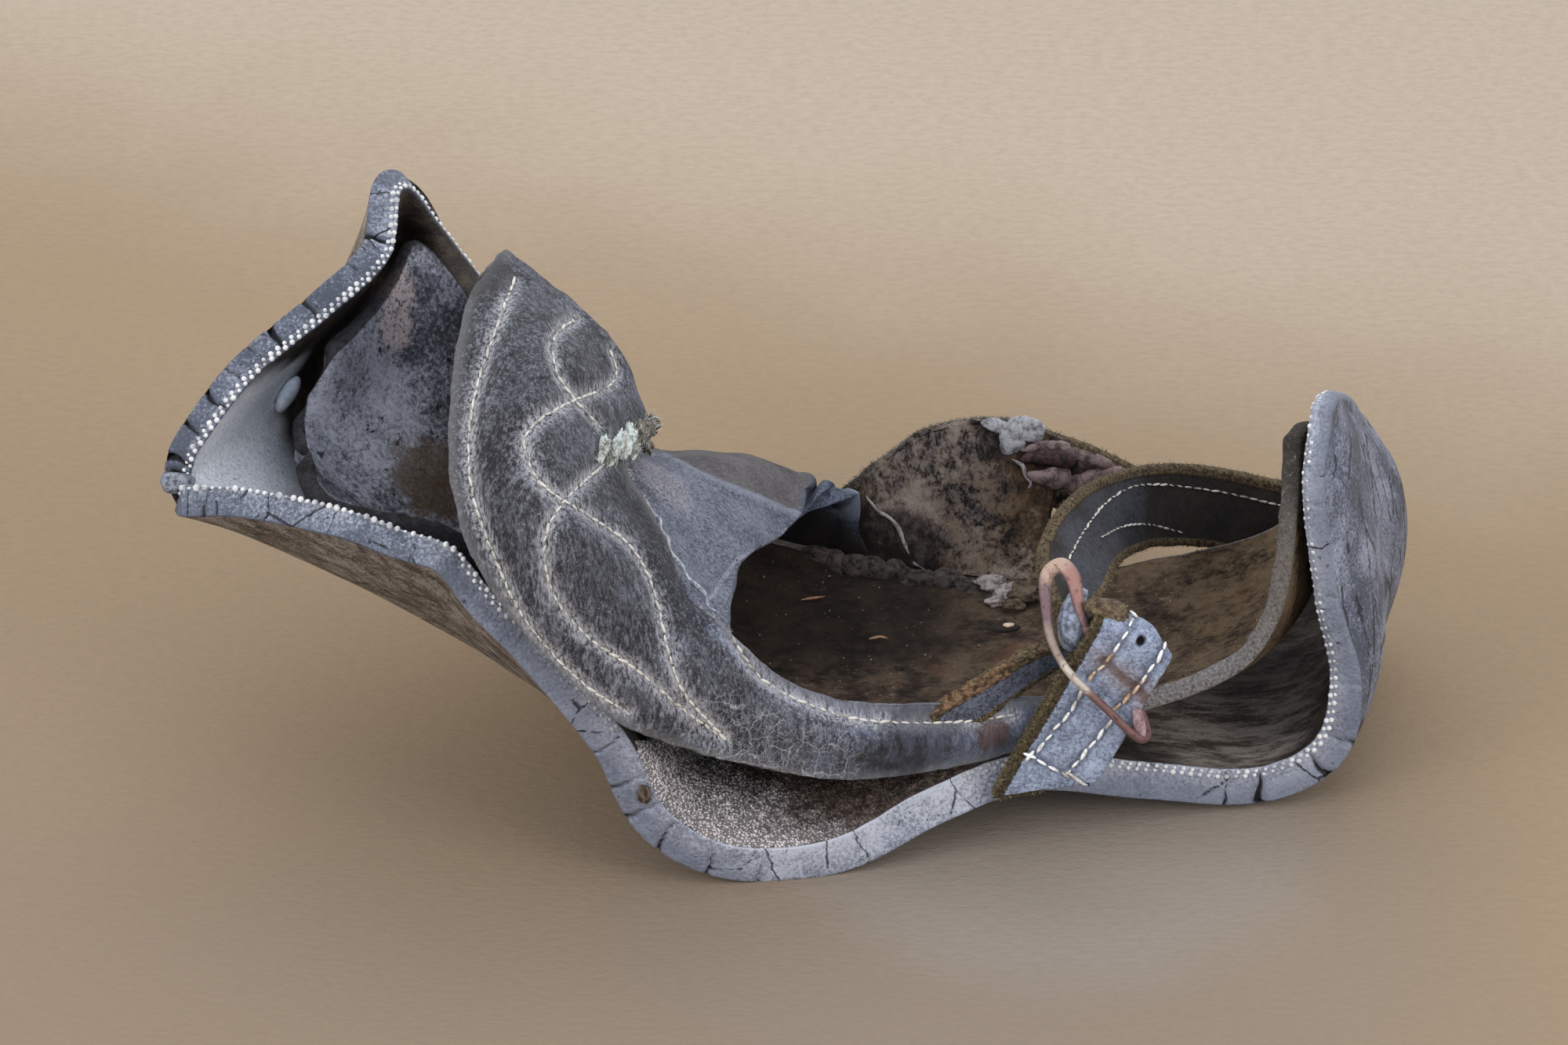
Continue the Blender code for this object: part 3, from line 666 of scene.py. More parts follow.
# Pale pink flecks on the heel's outer face are painted glints
under_heel = rubber.blend(rubber.step(speckle * 0.7 + patches * 0.5, 0.73, 0.82), under_heel, HEEL_PAINTED_GLINTS)
under_side = rubber.blend(rubber.step(x_place, 0.045, -0.01), under_heel, under_toe)
streaks = rubber.grain(0.0035, 6, 0.75, rubber.places((0.35, 1.3, 1)))
inside = rubber.blend(rubber.step(streaks, 0.42, 0.70), SOIL_DARK, SOIL_BROWN)
inside_lit = rubber.step(streaks + (speckle - 0.5) * 0.3, 0.38, 0.62)
inside_lit = rubber.blend(inside_lit, SOIL_LIT_DARK, SOIL_LIT)
inside = rubber.blend(rubber.near(sole_spots["heel_back"], 0.017, 0.2) * 0.55, inside, inside_lit)
inside = rubber.blend(rubber.near(sole_spots["heel_floor"], 0.019, 0.2) * 0.9, inside, inside_lit)
# Painted light: the toe's inner wall turns pale blue-grey to near white
wall_lit_color = rubber.blend(rubber.step(speckle, 0.30, 0.62), TOE_WALL_GREY, TOE_WALL_PAINTED_LIGHT)
wall_lit_mask = rubber.near(sole_spots["wall"], 0.019, 0.12) + rubber.near(sole_spots["wall_top"], 0.010, 0.1)
wall_lit_mask = wall_lit_mask.math("MINIMUM", 1)
top_side = rubber.blend(wall_lit_mask, inside, wall_lit_color)
faces_color = rubber.blend(rubber.step(depth_in, 0.4, 0.6), top_side, under_side)
whole = rubber.blend(rim_part, faces_color, rim_color)
bend_run = rubber.attribute("run") + rubber.grain(0.0016, 3, 0.6) * 0.0013
run_where = rubber.node("ShaderNodeCombineXYZ", {}, {0: bend_run, 1: depth_in * 0.0022})
fine_cracks = rubber.cracks(0.0095, 0.00013, run_where) * rim_part * rubber.step(patches, 0.51, 0.56)
heel_across = rubber.attribute("across") + rubber.grain(0.002, 4, 0.7) * 0.003
heel_where = rubber.node("ShaderNodeCombineXYZ", {}, {0: heel_across, 1: rubber.attribute("along") * 0.3})
long_cracks = rubber.cracks(0.0062, 0.00030, heel_where)
outer_face = (1 - rim_part) * rubber.step(depth_in, 0.5, 0.8)
long_cracks = long_cracks * outer_face * rubber.step(rubber.grain(0.007, 3, 0.5), 0.46, 0.56)
gaps = (fine_cracks + long_cracks * 0.9).math("MINIMUM", 1)
split_open = rubber.step(rubber.attribute("split"), 0.00025, 0.0008)
dark = rubber.blend((gaps * 0.85 + split_open).math("MINIMUM", 1), whole, CRACK_DARK)
pores = rubber.step(rubber.grain(0.0012, 2, 0.5), 0.30, 0.24)
dark = rubber.blend(pores * 0.6, dark, CRACK_DARK)
rubber_relief = speckle * 0.45 + rubber.grain(0.0022, 4, 0.6) * 0.6 - gaps * 1.6 - pores * 0.8
rubber.finish(dark, 0.55 + dusty * 0.35, rubber_relief, 0.0004)

heel_rim = heel[sole.border]
rim_swell = RIM_SWELL + (HEEL_SWELL - RIM_SWELL) * heel_rim
outsole = shell("outsole_rubber", sole, sole_thick, rubber.material, steps=RIM_STEPS, swell=rim_swell,
                square=0.35 + 0.45 * heel_rim, front=sole_front, notch=notch)
attach(outsole, "sole_rubber", "outsole")


# The beads are moulded with the sole: pale worn pips in two staggered rows, on the outside of
# the edge just under its top.
BEAD_PITCH = 0.00150
BEAD_SIZE = 0.00094
BEAD_ROWS_DOWN = (0.00038, 0.00112)
PIP_MOST = 1.1
TOOTH_SIZE = 0.0014
BEAD_PALE = (0.74, 0.73, 0.71)
BEAD_GREY = (0.26, 0.265, 0.285)
BEAD_DUSTED = (0.33, 0.33, 0.35)


def new_tree(name, given, result):
    """A tree with named inputs and one output, and a function that adds nodes to it.

    The function links by a socket's name, or by _ and its place, and takes a node for its
    first output.
    """
    tree = bpy.data.node_groups.new(name, "GeometryNodeTree")
    for socket, kind in given.items():
        tree.interface.new_socket(name=socket, in_out="INPUT", socket_type="NodeSocket" + kind)
    tree.interface.new_socket(name=result, in_out="OUTPUT", socket_type="NodeSocketGeometry")

    def add(kind, settings=None, **links):
        made = tree.nodes.new(kind)
        for key, value in (settings or {}).items():
            setattr(made, key, value)
        for key, value in links.items():
            slot = made.inputs[int(key[1:]) if key[1:].isdigit() else key.replace("_", " ")]
            if isinstance(value, bpy.types.Node):
                value = value.outputs[0]
            if isinstance(value, bpy.types.NodeSocket):
                tree.links.new(value, slot)
            else:
                slot.default_value = value
        return made

    return tree, add, tree.nodes.new("NodeGroupInput").outputs


def row_tree():
    """Nodes that set one rounded pip or stitch at every pitch along a line."""
    tree, add, given = new_tree("row_of_pips", {
        "Line": "Geometry", "Pitch": "Float", "Length": "Float", "Width": "Float", "Height": "Float",
        "Unevenness": "Float", "Turn": "Float", "Seed": "Int", "Finish": "Material",
    }, "Pips")
    line = add("GeometryNodeMeshToCurve", Mesh=given["Line"])
    spaced = add("GeometryNodeResampleCurve", {"mode": "LENGTH"}, Curve=line, Length=given["Pitch"])
    facing = add("GeometryNodeInputNamedAttribute", {"data_type": "FLOAT_VECTOR"}, Name="facing")
    tangent = add("GeometryNodeInputTangent")
    turned = add("FunctionNodeAxesToRotation", {"primary_axis": "Z", "secondary_axis": "X"},
                 _0=facing, _1=tangent)
    swing = add("ShaderNodeMath", {"operation": "MULTIPLY"}, _0=given["Turn"], _1=-1.0)
    angle = add("FunctionNodeRandomValue", {"data_type": "FLOAT"}, _2=swing, _3=given["Turn"],
                Seed=given["Seed"])
    about = add("ShaderNodeCombineXYZ", _2=angle.outputs[1])
    twist = add("FunctionNodeEulerToRotation", _0=about)
    final = add("FunctionNodeRotateRotation", {"rotation_space": "LOCAL"}, _0=turned, _1=twist)
    size = add("ShaderNodeCombineXYZ", _0=given["Length"], _1=given["Width"], _2=given["Height"])
    least = add("ShaderNodeMath", {"operation": "SUBTRACT"}, _0=1.0, _1=given["Unevenness"])
    share = add("FunctionNodeRandomValue", {"data_type": "FLOAT"}, _2=least, _3=PIP_MOST, Seed=given["Seed"])
    scaled = add("ShaderNodeVectorMath", {"operation": "SCALE"}, _0=size, Scale=share.outputs[1])
    pip = add("GeometryNodeMeshUVSphere", Segments=8, Rings=5, Radius=0.5)
    put = add("GeometryNodeInstanceOnPoints", Points=spaced, Instance=pip, Rotation=final, Scale=scaled)
    smooth = add("GeometryNodeSetShadeSmooth", Geometry=add("GeometryNodeRealizeInstances", Geometry=put))
    done = add("GeometryNodeSetMaterial", Geometry=smooth, Material=given["Finish"])
    add("NodeGroupOutput", _0=done)
    return tree


ROW_TREE = row_tree()


def grown_mesh(name, mesh, tree, values):
    """A plain mesh piece from what a tree grows on a starting mesh."""
    seed = bpy.data.objects.new(name + "_start", mesh)
    scene.collection.objects.link(seed)
    growth = seed.modifiers.new("growth", "NODES")
    growth.node_group = tree
    for item in tree.interface.items_tree:
        if item.in_out == "INPUT" and item.name in values:
            growth[item.identifier] = values[item.name]
    graph = bpy.context.evaluated_depsgraph_get()
    grown_from = bpy.data.meshes.new_from_object(seed.evaluated_get(graph), depsgraph=graph)
    bpy.data.objects.remove(seed)
    piece = bpy.data.objects.new(name, grown_from)
    scene.collection.objects.link(piece)
    return piece


def grown(name, lines, tree, values):
    """A piece that a tree grows along lines, each given as its points and facings."""
    start = bpy.data.meshes.new(name)
    points = np.concatenate([line for line, _ in lines])
    facing = np.concatenate([facing for _, facing in lines])
    edges, first = [], 0
    for line, _ in lines:
        edges += [(first + k, first + k + 1) for k in range(len(line) - 1)]
        first += len(line)
    start.from_pydata(points.tolist(), edges, [])
    layer = start.attributes.new("facing", "FLOAT_VECTOR", "POINT")
    layer.data.foreach_set("vector", np.asarray(facing, np.float32).ravel())
    return grown_mesh(name, start, tree, values)


def runs_of(chosen):
    """The stretches of a closed border where chosen holds, as lists of places on it."""
    start = int(np.argmin(chosen))
    order = np.roll(np.arange(len(chosen)), -start)
    stretches, stretch = [], []
    for k in order:
        if chosen[k]:
            stretch.append(k)
        elif stretch:
            stretches.append(np.array(stretch))
            stretch = []
    if stretch:
        stretches.append(np.array(stretch))
    return [stretch for stretch in stretches if len(stretch) > 6]


beads_finish = Finish("worn_beads", roughness=0.75)
bead_mix = beads_finish.step(beads_finish.grain(0.005, 5, 0.7), 0.34, 0.58)
bead_x = beads_finish.axis(0, of="place")
dusted = beads_finish.step(bead_x, -0.044, -0.030) * beads_finish.step(bead_x, 0.050, 0.030)
bead_color = beads_finish.blend(bead_mix, BEAD_GREY, BEAD_PALE)
beads_finish.finish(beads_finish.blend(dusted * 0.85, bead_color, BEAD_DUSTED))

border = np.array(sole.border)
rim_top = sole.points[border] + sole.normals[border] * sole_front[border][:, None]
rim_down = -sole.normals[border]
rim_x = rim_top[:, 0]
near_toe = (sole.column[border] < 0.01) & (rim_x < -0.050)
far_hidden = (sole.column[border] > 0.99) & (rim_x > -0.049)
dust_hidden = (sole.column[border] < 0.01) & (rim_x > -0.026) & (rim_x < 0.028)
bead_step = float(np.median(np.diff(sole.run)))
bead_lines = []
for number, down in enumerate(BEAD_ROWS_DOWN):
    for stretch in runs_of(~near_toe & ~far_hidden & ~dust_hidden):
        trim = number * round(BEAD_PITCH / 2 / bead_step)
        lift = (RIM_SWELL * 0.9 + 0.0006 * heel_rim * down / 0.00125)[:, None]
        line = rim_top + rim_down * down + sole.outward * (lift - notch[1][:, None])
        bead_lines.append((line[stretch][trim::2], sole.outward[stretch][trim::2]))
beads = grown("edge_beads", bead_lines, ROW_TREE, {
    "Pitch": BEAD_PITCH, "Length": BEAD_SIZE, "Width": BEAD_SIZE, "Height": BEAD_SIZE * 0.9,
    "Unevenness": 0.35, "Turn": 0.4, "Seed": 4, "Finish": beads_finish.material,
})
attach(beads, "sole_rubber")
tooth_lines = []
for stretch in runs_of(near_toe):
    line = rim_top + rim_down * 0.0002 + sole.outward * 0.0003
    tooth_lines.append((line[stretch][::2], unit(sole.outward - rim_down)[stretch][::2]))
teeth = grown("toe_edge_teeth", tooth_lines, ROW_TREE, {
    "Pitch": BEAD_PITCH * 0.93, "Length": TOOTH_SIZE * 0.8, "Width": TOOTH_SIZE, "Height": TOOTH_SIZE * 0.8,
    "Unevenness": 0.6, "Turn": 0.8, "Seed": 9, "Finish": beads_finish.material,
})
attach(teeth, "sole_rubber")


# A bluish rivet shows inside the toe, and a chip of the sole hangs at the toe's point. Where
# the edge has split at the ball there is a brown scab.
RIVET_AT = (359, 497)
CHIP_AT = (225, 596)
SCAB_AT = (838, 1000)


def lump(name, spot, facing, toward, size, material, bumps=0.0, seed=0.0, square=1.0, sides=28):
    """A rounded or blocky body at a spot; its size runs toward, across and along its facing."""
    facing = unit(np.array(facing, float))
    toward = unit(np.array(toward, float) - facing * np.dot(toward, facing))
    axes = np.stack((toward, np.cross(facing, toward), facing))
    levels = sides // 2
    points = [(0.0, 0.0, 1.0)]
    for i in range(1, levels):
        tilt = math.pi * i / levels
        for k in range(sides):
            turn = 2 * math.pi * k / sides
            points.append((math.sin(tilt) * math.cos(turn), math.sin(tilt) * math.sin(turn), math.cos(tilt)))
    points.append((0.0, 0.0, -1.0))
    points = np.array(points)
    swollen = 1 + bumps * roughness_at(points, 0.7, seed) + bumps * 0.4 * roughness_at(points, 0.25, seed)
    shaped = np.sign(points) * np.abs(points) ** square
    local = shaped * swollen[:, None] * np.array(size) / 2
    last = len(points) - 1
    faces = [(0, 1 + k, 1 + (k + 1) % sides) for k in range(sides)]
    for i in range(levels - 2):
        a, b = 1 + i * sides, 1 + (i + 1) * sides
        faces += [(a + k, b + k, b + (k + 1) % sides, a + (k + 1) % sides) for k in range(sides)]
    a = last - sides
    faces += [(last, a + (k + 1) % sides, a + k) for k in range(sides)]
    return build(name, np.array(spot) + local @ axes, faces, {}, material)


def speckled(name, dark, pale, size, low=0.38, high=0.62, depth=0.0002, roughness=0.8):
    """A finish that varies between two colours in specks."""
    made = Finish(name, roughness=roughness)
    speck = made.grain(size, 6, 0.75)
    return made.finish(made.blend(made.step(speck, low, high), dark, pale), relief=speck, depth=depth)


rivet_spot, rivet_facing = on_surface(sole_surface, *RIVET_AT)
rivet_paint = speckled("rivet_paint", (0.58, 0.68, 0.80), (0.96, 0.97, 0.98), 0.0022, roughness=0.3)
rivet = lump("toe_rivet", rivet_spot + rivet_facing * 0.0013, rivet_facing, (0.35, 0.1, 0.9),
             (0.0070, 0.0044, 0.0026), rivet_paint, bumps=0.10, seed=2.0)
attach(rivet, "sole_rubber")

chip_rubber = speckled("chip_rubber", RUBBER_DARK, (0.30, 0.31, 0.35), 0.0012, depth=0.0003)
chip_near = sole.points[border][seen_nearest(rim_seen, *CHIP_AT)]
chip = lump("toe_chip", chip_near + np.array((-0.0022, -0.0012, -0.0010)), (0.2, -0.85, 0.5), (-1, 0, 0.12),
            (0.0052, 0.0034, 0.0034), chip_rubber, bumps=0.16, seed=5.0, square=0.6)
attach(chip, "sole_rubber")

scab_finish = speckled("rim_scab", (0.035, 0.022, 0.014), (0.17, 0.12, 0.085), 0.0009, depth=0.0004)
scab_index = seen_nearest(rim_seen, *SCAB_AT)
scab_spot = rim_top[scab_index] + rim_down[scab_index] * 0.0016 + sole.outward[scab_index] * 0.0004
scab = lump("rim_scab", scab_spot, sole.outward[scab_index], (0, 0, 1), (0.0038, 0.0022, 0.0014), scab_finish,
            bumps=0.3, seed=3.0)
attach(scab, "sole_rubber")


# Soil has settled between the sole and the vamp at the ball: a bed of grey-brown crumbs.
SOIL_FROM = 0.332
SOIL_TO = 0.615
SOIL_ACROSS = 0.40
SOIL_HEAP = 0.0034
HALF_TURN = 3.1
CRUMB_SIZE = 0.00056
CRUMBS_PER_M2 = 3.9e6
# Dark and pale soil at the ball, dark and light brown soil under the vamp, and soil at the rim
CRUMB_COLORS = ((0.330, 0.302, 0.315), (0.86, 0.79, 0.79), (0.014, 0.009, 0.007), (0.150, 0.105, 0.082),
                (0.80, 0.72, 0.715))
BED_COLORS = ((0.150, 0.132, 0.132), (0.54, 0.485, 0.48), (0.016, 0.011, 0.008), (0.150, 0.112, 0.090),
              (0.50, 0.445, 0.44))


def scatter_tree(name, bit_kind, **bit_shape):
    """Nodes that scatter small bits over a surface, each stretched along its facing."""
    tree, add, given = new_tree(name, {
        "Bed": "Geometry", "Density": "Float", "Size": "Vector", "Least": "Float", "Tilt": "Float",
        "Seed": "Int", "Finish": "Material",
    }, "Bits")
    spots = add("GeometryNodeDistributePointsOnFaces", Mesh=given["Bed"], Density=given["Density"],
                Seed=given["Seed"])
    back = add("ShaderNodeMath", {"operation": "MULTIPLY"}, _0=given["Tilt"], _1=-1.0)
    low = add("ShaderNodeCombineXYZ", _0=back, _1=back, _2=-HALF_TURN)
    high = add("ShaderNodeCombineXYZ", _0=given["Tilt"], _1=given["Tilt"], _2=HALF_TURN)
    angle = add("FunctionNodeRandomValue", {"data_type": "FLOAT_VECTOR"}, _0=low, _1=high, Seed=given["Seed"])
    lean = add("FunctionNodeEulerToRotation", _0=angle)
    turn = add("FunctionNodeRotateRotation", {"rotation_space": "LOCAL"},
               _0=spots.outputs["Rotation"], _1=lean)
    share = add("FunctionNodeRandomValue", {"data_type": "FLOAT"}, _2=given["Least"], _3=1.0,
                Seed=given["Seed"])
    scaled = add("ShaderNodeVectorMath", {"operation": "SCALE"}, _0=given["Size"], Scale=share.outputs[1])
    put = add("GeometryNodeInstanceOnPoints", Points=spots, Instance=add(bit_kind, **bit_shape),
              Rotation=turn, Scale=scaled)
    real = add("GeometryNodeRealizeInstances", Geometry=put)
    done = add("GeometryNodeSetMaterial", Geometry=real, Material=given["Finish"])
    add("NodeGroupOutput", _0=done)
    return tree


CRUMB_TREE = scatter_tree("scattered_crumbs", "GeometryNodeMeshIcoSphere", Radius=0.5, Subdivisions=1)
FIBRE_TREE = scatter_tree("scattered_fibres", "GeometryNodeMeshCone", Vertices=3, Radius_Top=0.15,
                          Radius_Bottom=0.5, Depth=1.0)


def scattered(name, points, faces, values, tree=CRUMB_TREE):
    """A piece made of bits scattered over a surface."""
    bed_mesh = bpy.data.meshes.new(name)
    bed_mesh.from_pydata(points.tolist(), [], faces)
    return grown_mesh(name, bed_mesh, tree, values)


chosen = (sole.row[sole.quads[:, 0]] > SOIL_FROM) & (sole.row[sole.quads[:, 0]] < SOIL_TO)
chosen &= sole.column[sole.quads[:, 0]] < SOIL_ACROSS
soil_quads = sole.quads[chosen]
middle_out = np.sin(math.pi * np.clip((sole.row - SOIL_FROM) / (SOIL_TO - SOIL_FROM), 0, 1)) ** 0.5
heap = np.clip(sole.edge / 0.010, 0, 1) * middle_out * SOIL_HEAP + sole.bumps(0.0010, 0.006, 4.0)
heap = heap + sole.bumps(0.00060, 0.0022, 1.0) + sole.bumps(0.0002, 0.0007, 2.0)
heap = np.where(middle_out > 0.10, heap, -0.0004)
heap = np.where(sole.edge > 0.0006, heap, -0.0003)
soil_points = sole.points + sole.normals * heap[:, None]
used, flat = np.unique(soil_quads, return_inverse=True)


def soil_look(name, dark, pale, brown_dark, brown, rim, depth):
    """Soil that is pale grey at the ball, paler still at the rim, and brown under the vamp."""
    made = Finish(name, roughness=0.95, specular=0.2)
    mix = made.step(made.grain(0.0013, 5, 0.8), 0.36, 0.64)
    back = made.axis(0, of="place") + made.axis(1, of="place") * 0.9
    back = made.step(back + (made.grain(0.006, 4, 0.7) - 0.5) * 0.04, -0.046, -0.022)
    color = made.blend(mix, dark, pale)
    color = made.blend(back, color, made.blend(mix, brown_dark, brown))
    edge = made.axis(1, of="place") + (made.grain(0.005, 4, 0.7) - 0.5) * 0.010
    edge = made.step(edge, -0.036, -0.043) * (1 - back * 0.6)
    return made.finish(made.blend(edge * 0.65, color, rim), relief=mix, depth=depth)


crumb_look = soil_look("soil_crumbs", *CRUMB_COLORS, depth=0.0001)
bed_look = soil_look("settled_soil", *BED_COLORS, depth=0.0008)
soil_bed = build("soil_bed", soil_points[used], flat.reshape(-1, 4).tolist(), {}, bed_look)
attach(soil_bed, "sole_rubber")
crumbs = scattered("soil_crumbs", soil_points, soil_quads.tolist(), {
    "Density": CRUMBS_PER_M2, "Size": (CRUMB_SIZE, CRUMB_SIZE * 0.9, CRUMB_SIZE * 0.8), "Least": 0.35,
    "Tilt": 1.2, "Seed": 3, "Finish": crumb_look,
})
attach(crumbs, "sole_rubber")


# The insole is the leather footbed. It has dried and lifted off the sole, blue-grey and pitted
# under the toes, brown and fibrous behind.
SEAT_GAP = 0.0004
INSOLE_THICKNESS = 0.0030
INSOLE_SECTIONS = [
    [(-37.8, -4, 47.6), (-38, -1, 48.3), (-38.1, 1, 49.3), (-38, 3, 50.3), (-37.9, 5, 51.3)],
    [(-36, -20, 47.8), (-35.8, -12, 44), (-35.2, -4, 42.3), (-35.8, 4, 48.3), (-35.5, 5.5, 59)],
    [(-31, -29, 49.7), (-30.6, -20.3, 42), (-30, -9, 35), (-32.4, 9, 47), (-33, 14, 60.3)],
    [(-28, -31, 49.7), (-27.4, -21, 38.5), (-26.6, -9, 30.6), (-29.6, 14, 47), (-30.9, 22, 62.8)],
    [(-25, -33, 47.5), (-24.3, -22.7, 35.5), (-23, -8, 26.3), (-26.4, 16, 44), (-29, 29, 66)],
    [(-19, -36.5, 37.3), (-18.1, -21.8, 24), (-16, -5, 14.4), (-19.6, 16.8, 29.5), (-21.8, 30.5, 44)],
    [(-12.5, -37, 23), (-11.1, -19.9, 12.5), (-9, 0, 5.3), (-12.3, 18, 14.4), (-14.6, 32, 24)],
    [(-5, -36, 12.4), (-4.1, -19, 4.9), (-3, 0, 0.9), (-4.5, 18, 5.1), (-5.5, 34, 10.8)],
    [(3.5, -33, 7.1), (3.8, -17, 2.2), (4, 0, 0.1), (4.3, 17, 1.5), (4.5, 34, 4.7)],
    [(11, -30, 7.1), (11.3, -15.6, 3.2), (11.5, 0, 1.3), (12, 15.5, 1.8), (12.5, 31, 3.3)],
    [(19, -25, 9.4), (19.3, -12.6, 5.3), (19.5, 0, 3.3), (20, 14.4, 3.1), (20.5, 29, 3.9)],
    [(28.5, -22, 12.9), (29.1, -9.6, 6.9), (29.5, 3, 2.9), (30.3, 15.9, 4.9), (31, 29, 7.9)],
    [(35.5, -20, 18.5), (37, -8.2, 13.4), (38, 4, 9.9), (38.6, 16.4, 11), (39, 29, 12.9)],
    [(38.2, -18.5, 27.4), (40.3, -7, 23.4), (41.5, 5, 19.9), (42.5, 16.9, 20), (43, 29, 20.4)],
    [(39.2, -14.5, 40.9), (40.8, -4.9, 37.9), (41.9, 5, 34.9), (42.9, 15.9, 31.4), (43.6, 26, 27.9)],
    [(39.6, -7, 50.4), (40.2, -2, 49.4), (40.8, 3, 47.3), (41.6, 9, 43.8), (42.3, 15, 40.3)],
]
INSOLE_BASE = STAND + SEAT_GAP + INSOLE_THICKNESS
INSOLE_ROWS = 400
INSOLE_COLUMNS = 44
# Places on the footbed that its finish goes by, in pixels
BED_MARKS = {"pink": (508, 372), "pink_low": (503, 415), "brown": (552, 615), "toe_lit": (440, 520),
             "green": (1262, 742), "pale": (1278, 752)}

insole_rows = [[place(*point, base=INSOLE_BASE) for point in row] for row in INSOLE_SECTIONS]
footbed = Sheet(resample(insole_rows, thick_at_edges(INSOLE_COLUMNS, 0.5), even(INSOLE_ROWS)))
footbed_surface = footbed.bvh()
bed_spots = seen_spots(footbed_surface, BED_MARKS)

TOE_LEATHER = (0.37, 0.375, 0.425)
TOE_LEATHER_DARK = (0.050, 0.050, 0.061)
FOOTBED_BROWN = (0.135, 0.092, 0.061)
FOOTBED_DARK = (0.024, 0.017, 0.013)
HEEL_GOLD = (0.155, 0.108, 0.060)
FOOTBED_PALE = (0.34, 0.27, 0.235)
FOOTBED_RED = (0.105, 0.045, 0.026)
EDGE_FELT = (0.200, 0.178, 0.160)
EDGE_DUST = (0.330, 0.305, 0.300)
EDGE_BROWN = (0.075, 0.062, 0.052)
EDGE_DARK = (0.030, 0.024, 0.019)
EDGE_FLECKS = (0.26, 0.23, 0.21)
RIM_GAP_SHADE = (0.014, 0.012, 0.012)
PIT_BLACK = (0.010, 0.009, 0.010)
TOE_BROWN = (0.085, 0.055, 0.030)
PALE_MARK = (0.30, 0.24, 0.235)
GREEN_MARK = (0.13, 0.14, 0.075)
FAR_SIDE_SHADE = (0.012, 0.009, 0.008)
PINK_PATCH = (0.47, 0.39, 0.38)

bed = Finish("dried_footbed", roughness=0.92, specular=0.12)
bed_rim = bed.step(bed.attribute("rim"), 0.2, 0.6)
bed_x = bed.axis(0, of="place")
bed_patches = bed.grain(0.008, 6, 0.7)
bed_speckle = bed.grain(0.0008, 6, 0.8)
toe_mix = bed_patches * 0.55 + bed_speckle * 0.75 + bed.near(bed_spots["toe_lit"], 0.018) * 0.1
toe_color = bed.blend(bed.step(toe_mix, 0.55, 0.84), TOE_LEATHER_DARK, TOE_LEATHER)
pits = bed.step(bed.grain(0.0021, 3, 0.6), 0.34, 0.27)
toe_color = bed.blend(pits * 0.9, toe_color, PIT_BLACK)
toe_color = bed.blend(bed.near(bed_spots["brown"], 0.009, 0.5) * 0.8, toe_color, TOE_BROWN)
fibre = bed.grain(0.0013, 6, 0.8, bed.places((0.5, 1, 1)))
back_color = bed.blend(bed.step(bed_patches * 0.7 + fibre * 0.4, 0.42, 0.68), FOOTBED_DARK, FOOTBED_BROWN)
back_color = bed.blend(bed.step(bed.grain(0.011, 5, 0.7), 0.55, 0.68) * 0.6, back_color, FOOTBED_RED)
back_color = bed.blend(bed.step(fibre, 0.60, 0.74) * 0.75, back_color, FOOTBED_PALE)
heel_lit = bed.step(bed_x + (bed_patches - 0.5) * 0.03, 0.050, 0.075)
heel_lit = heel_lit * bed.step(fibre * 0.8 + bed_patches * 0.3, 0.42, 0.66)
back_color = bed.blend(heel_lit * 0.8, back_color, HEEL_GOLD)
bed.color = bed.blend(bed.step(bed_x + (bed_patches - 0.5) * 0.03, -0.034, -0.046), back_color, toe_color)
pink_mask = bed.near(bed_spots["pink"], 0.0048, 0.6) + bed.near(bed_spots["pink_low"], 0.0046, 0.6)
bed.coat(pink_mask.math("MINIMUM", 1) * bed.step(bed_speckle, 0.36, 0.50), PINK_PATCH)
bed.coat(bed.near(bed_spots["pale"], 0.0040, 0.5) * 0.3, PALE_MARK)
bed.coat(bed.near(bed_spots["green"], 0.0055, 0.6) * 0.35, GREEN_MARK)
edge_dust = bed.step(bed.axis(2, of="place") + (bed_patches - 0.5) * 0.01, 0.040, 0.022)
edge_fine = bed.step(bed.grain(0.0005, 4, 0.8), 0.26, 0.70)
edge_color = bed.blend(edge_fine, EDGE_BROWN, bed.blend(edge_dust, EDGE_FELT, EDGE_DUST))
edge_top = bed.blend(bed.step(bed.grain(0.0007, 5, 0.85), 0.56, 0.68), EDGE_DARK, EDGE_FLECKS)
edge_high = bed.step(bed.axis(2, of="place") + (bed_patches - 0.5) * 0.014, 0.040, 0.062)
edge_color = bed.blend(edge_high * 0.9, edge_color, edge_top)
bed_y = bed.axis(1, of="place")
heel_edge = bed.step(bed_y, 0.004, -0.002) + bed.step(bed_x, 0.055, 0.065)
heel_edge = heel_edge.math("MINIMUM", 1) * bed.step(bed_x, 0.0, 0.020)
bed.coat(bed_rim * heel_edge, edge_color)
# Away from the heel the footbed's rim is painted near black: painted shade of the gap between the lifted
# footbed and the sole
bed.coat(bed_rim * (1 - heel_edge) * 0.9, RIM_GAP_SHADE)
# Painted shade on the middle of the footbed's far side, under the leaf and the pleats
far_painted_shade = bed.step(bed_y, 0.000, 0.012) * bed.step(bed_x, 0.040, 0.020) * bed.step(bed_x, -0.035, -0.025)
bed.coat(far_painted_shade * 0.8, FAR_SIDE_SHADE)
bed_relief = bed_speckle * 0.6 + fibre * 0.6 - pits * 0.9 + bed_patches * 0.5
bed.finish(relief=bed_relief, depth=0.0006)

footbed_front = footbed.bumps(0.0003, 0.006, 1.0) + footbed.bumps(0.00018, 0.002, 5.0)
insole = shell("footbed", footbed, INSOLE_THICKNESS, bed.material, steps=8, swell=0.0006, square=0.8,
               front=footbed_front)
attach(insole, "insole_leather", "insole")


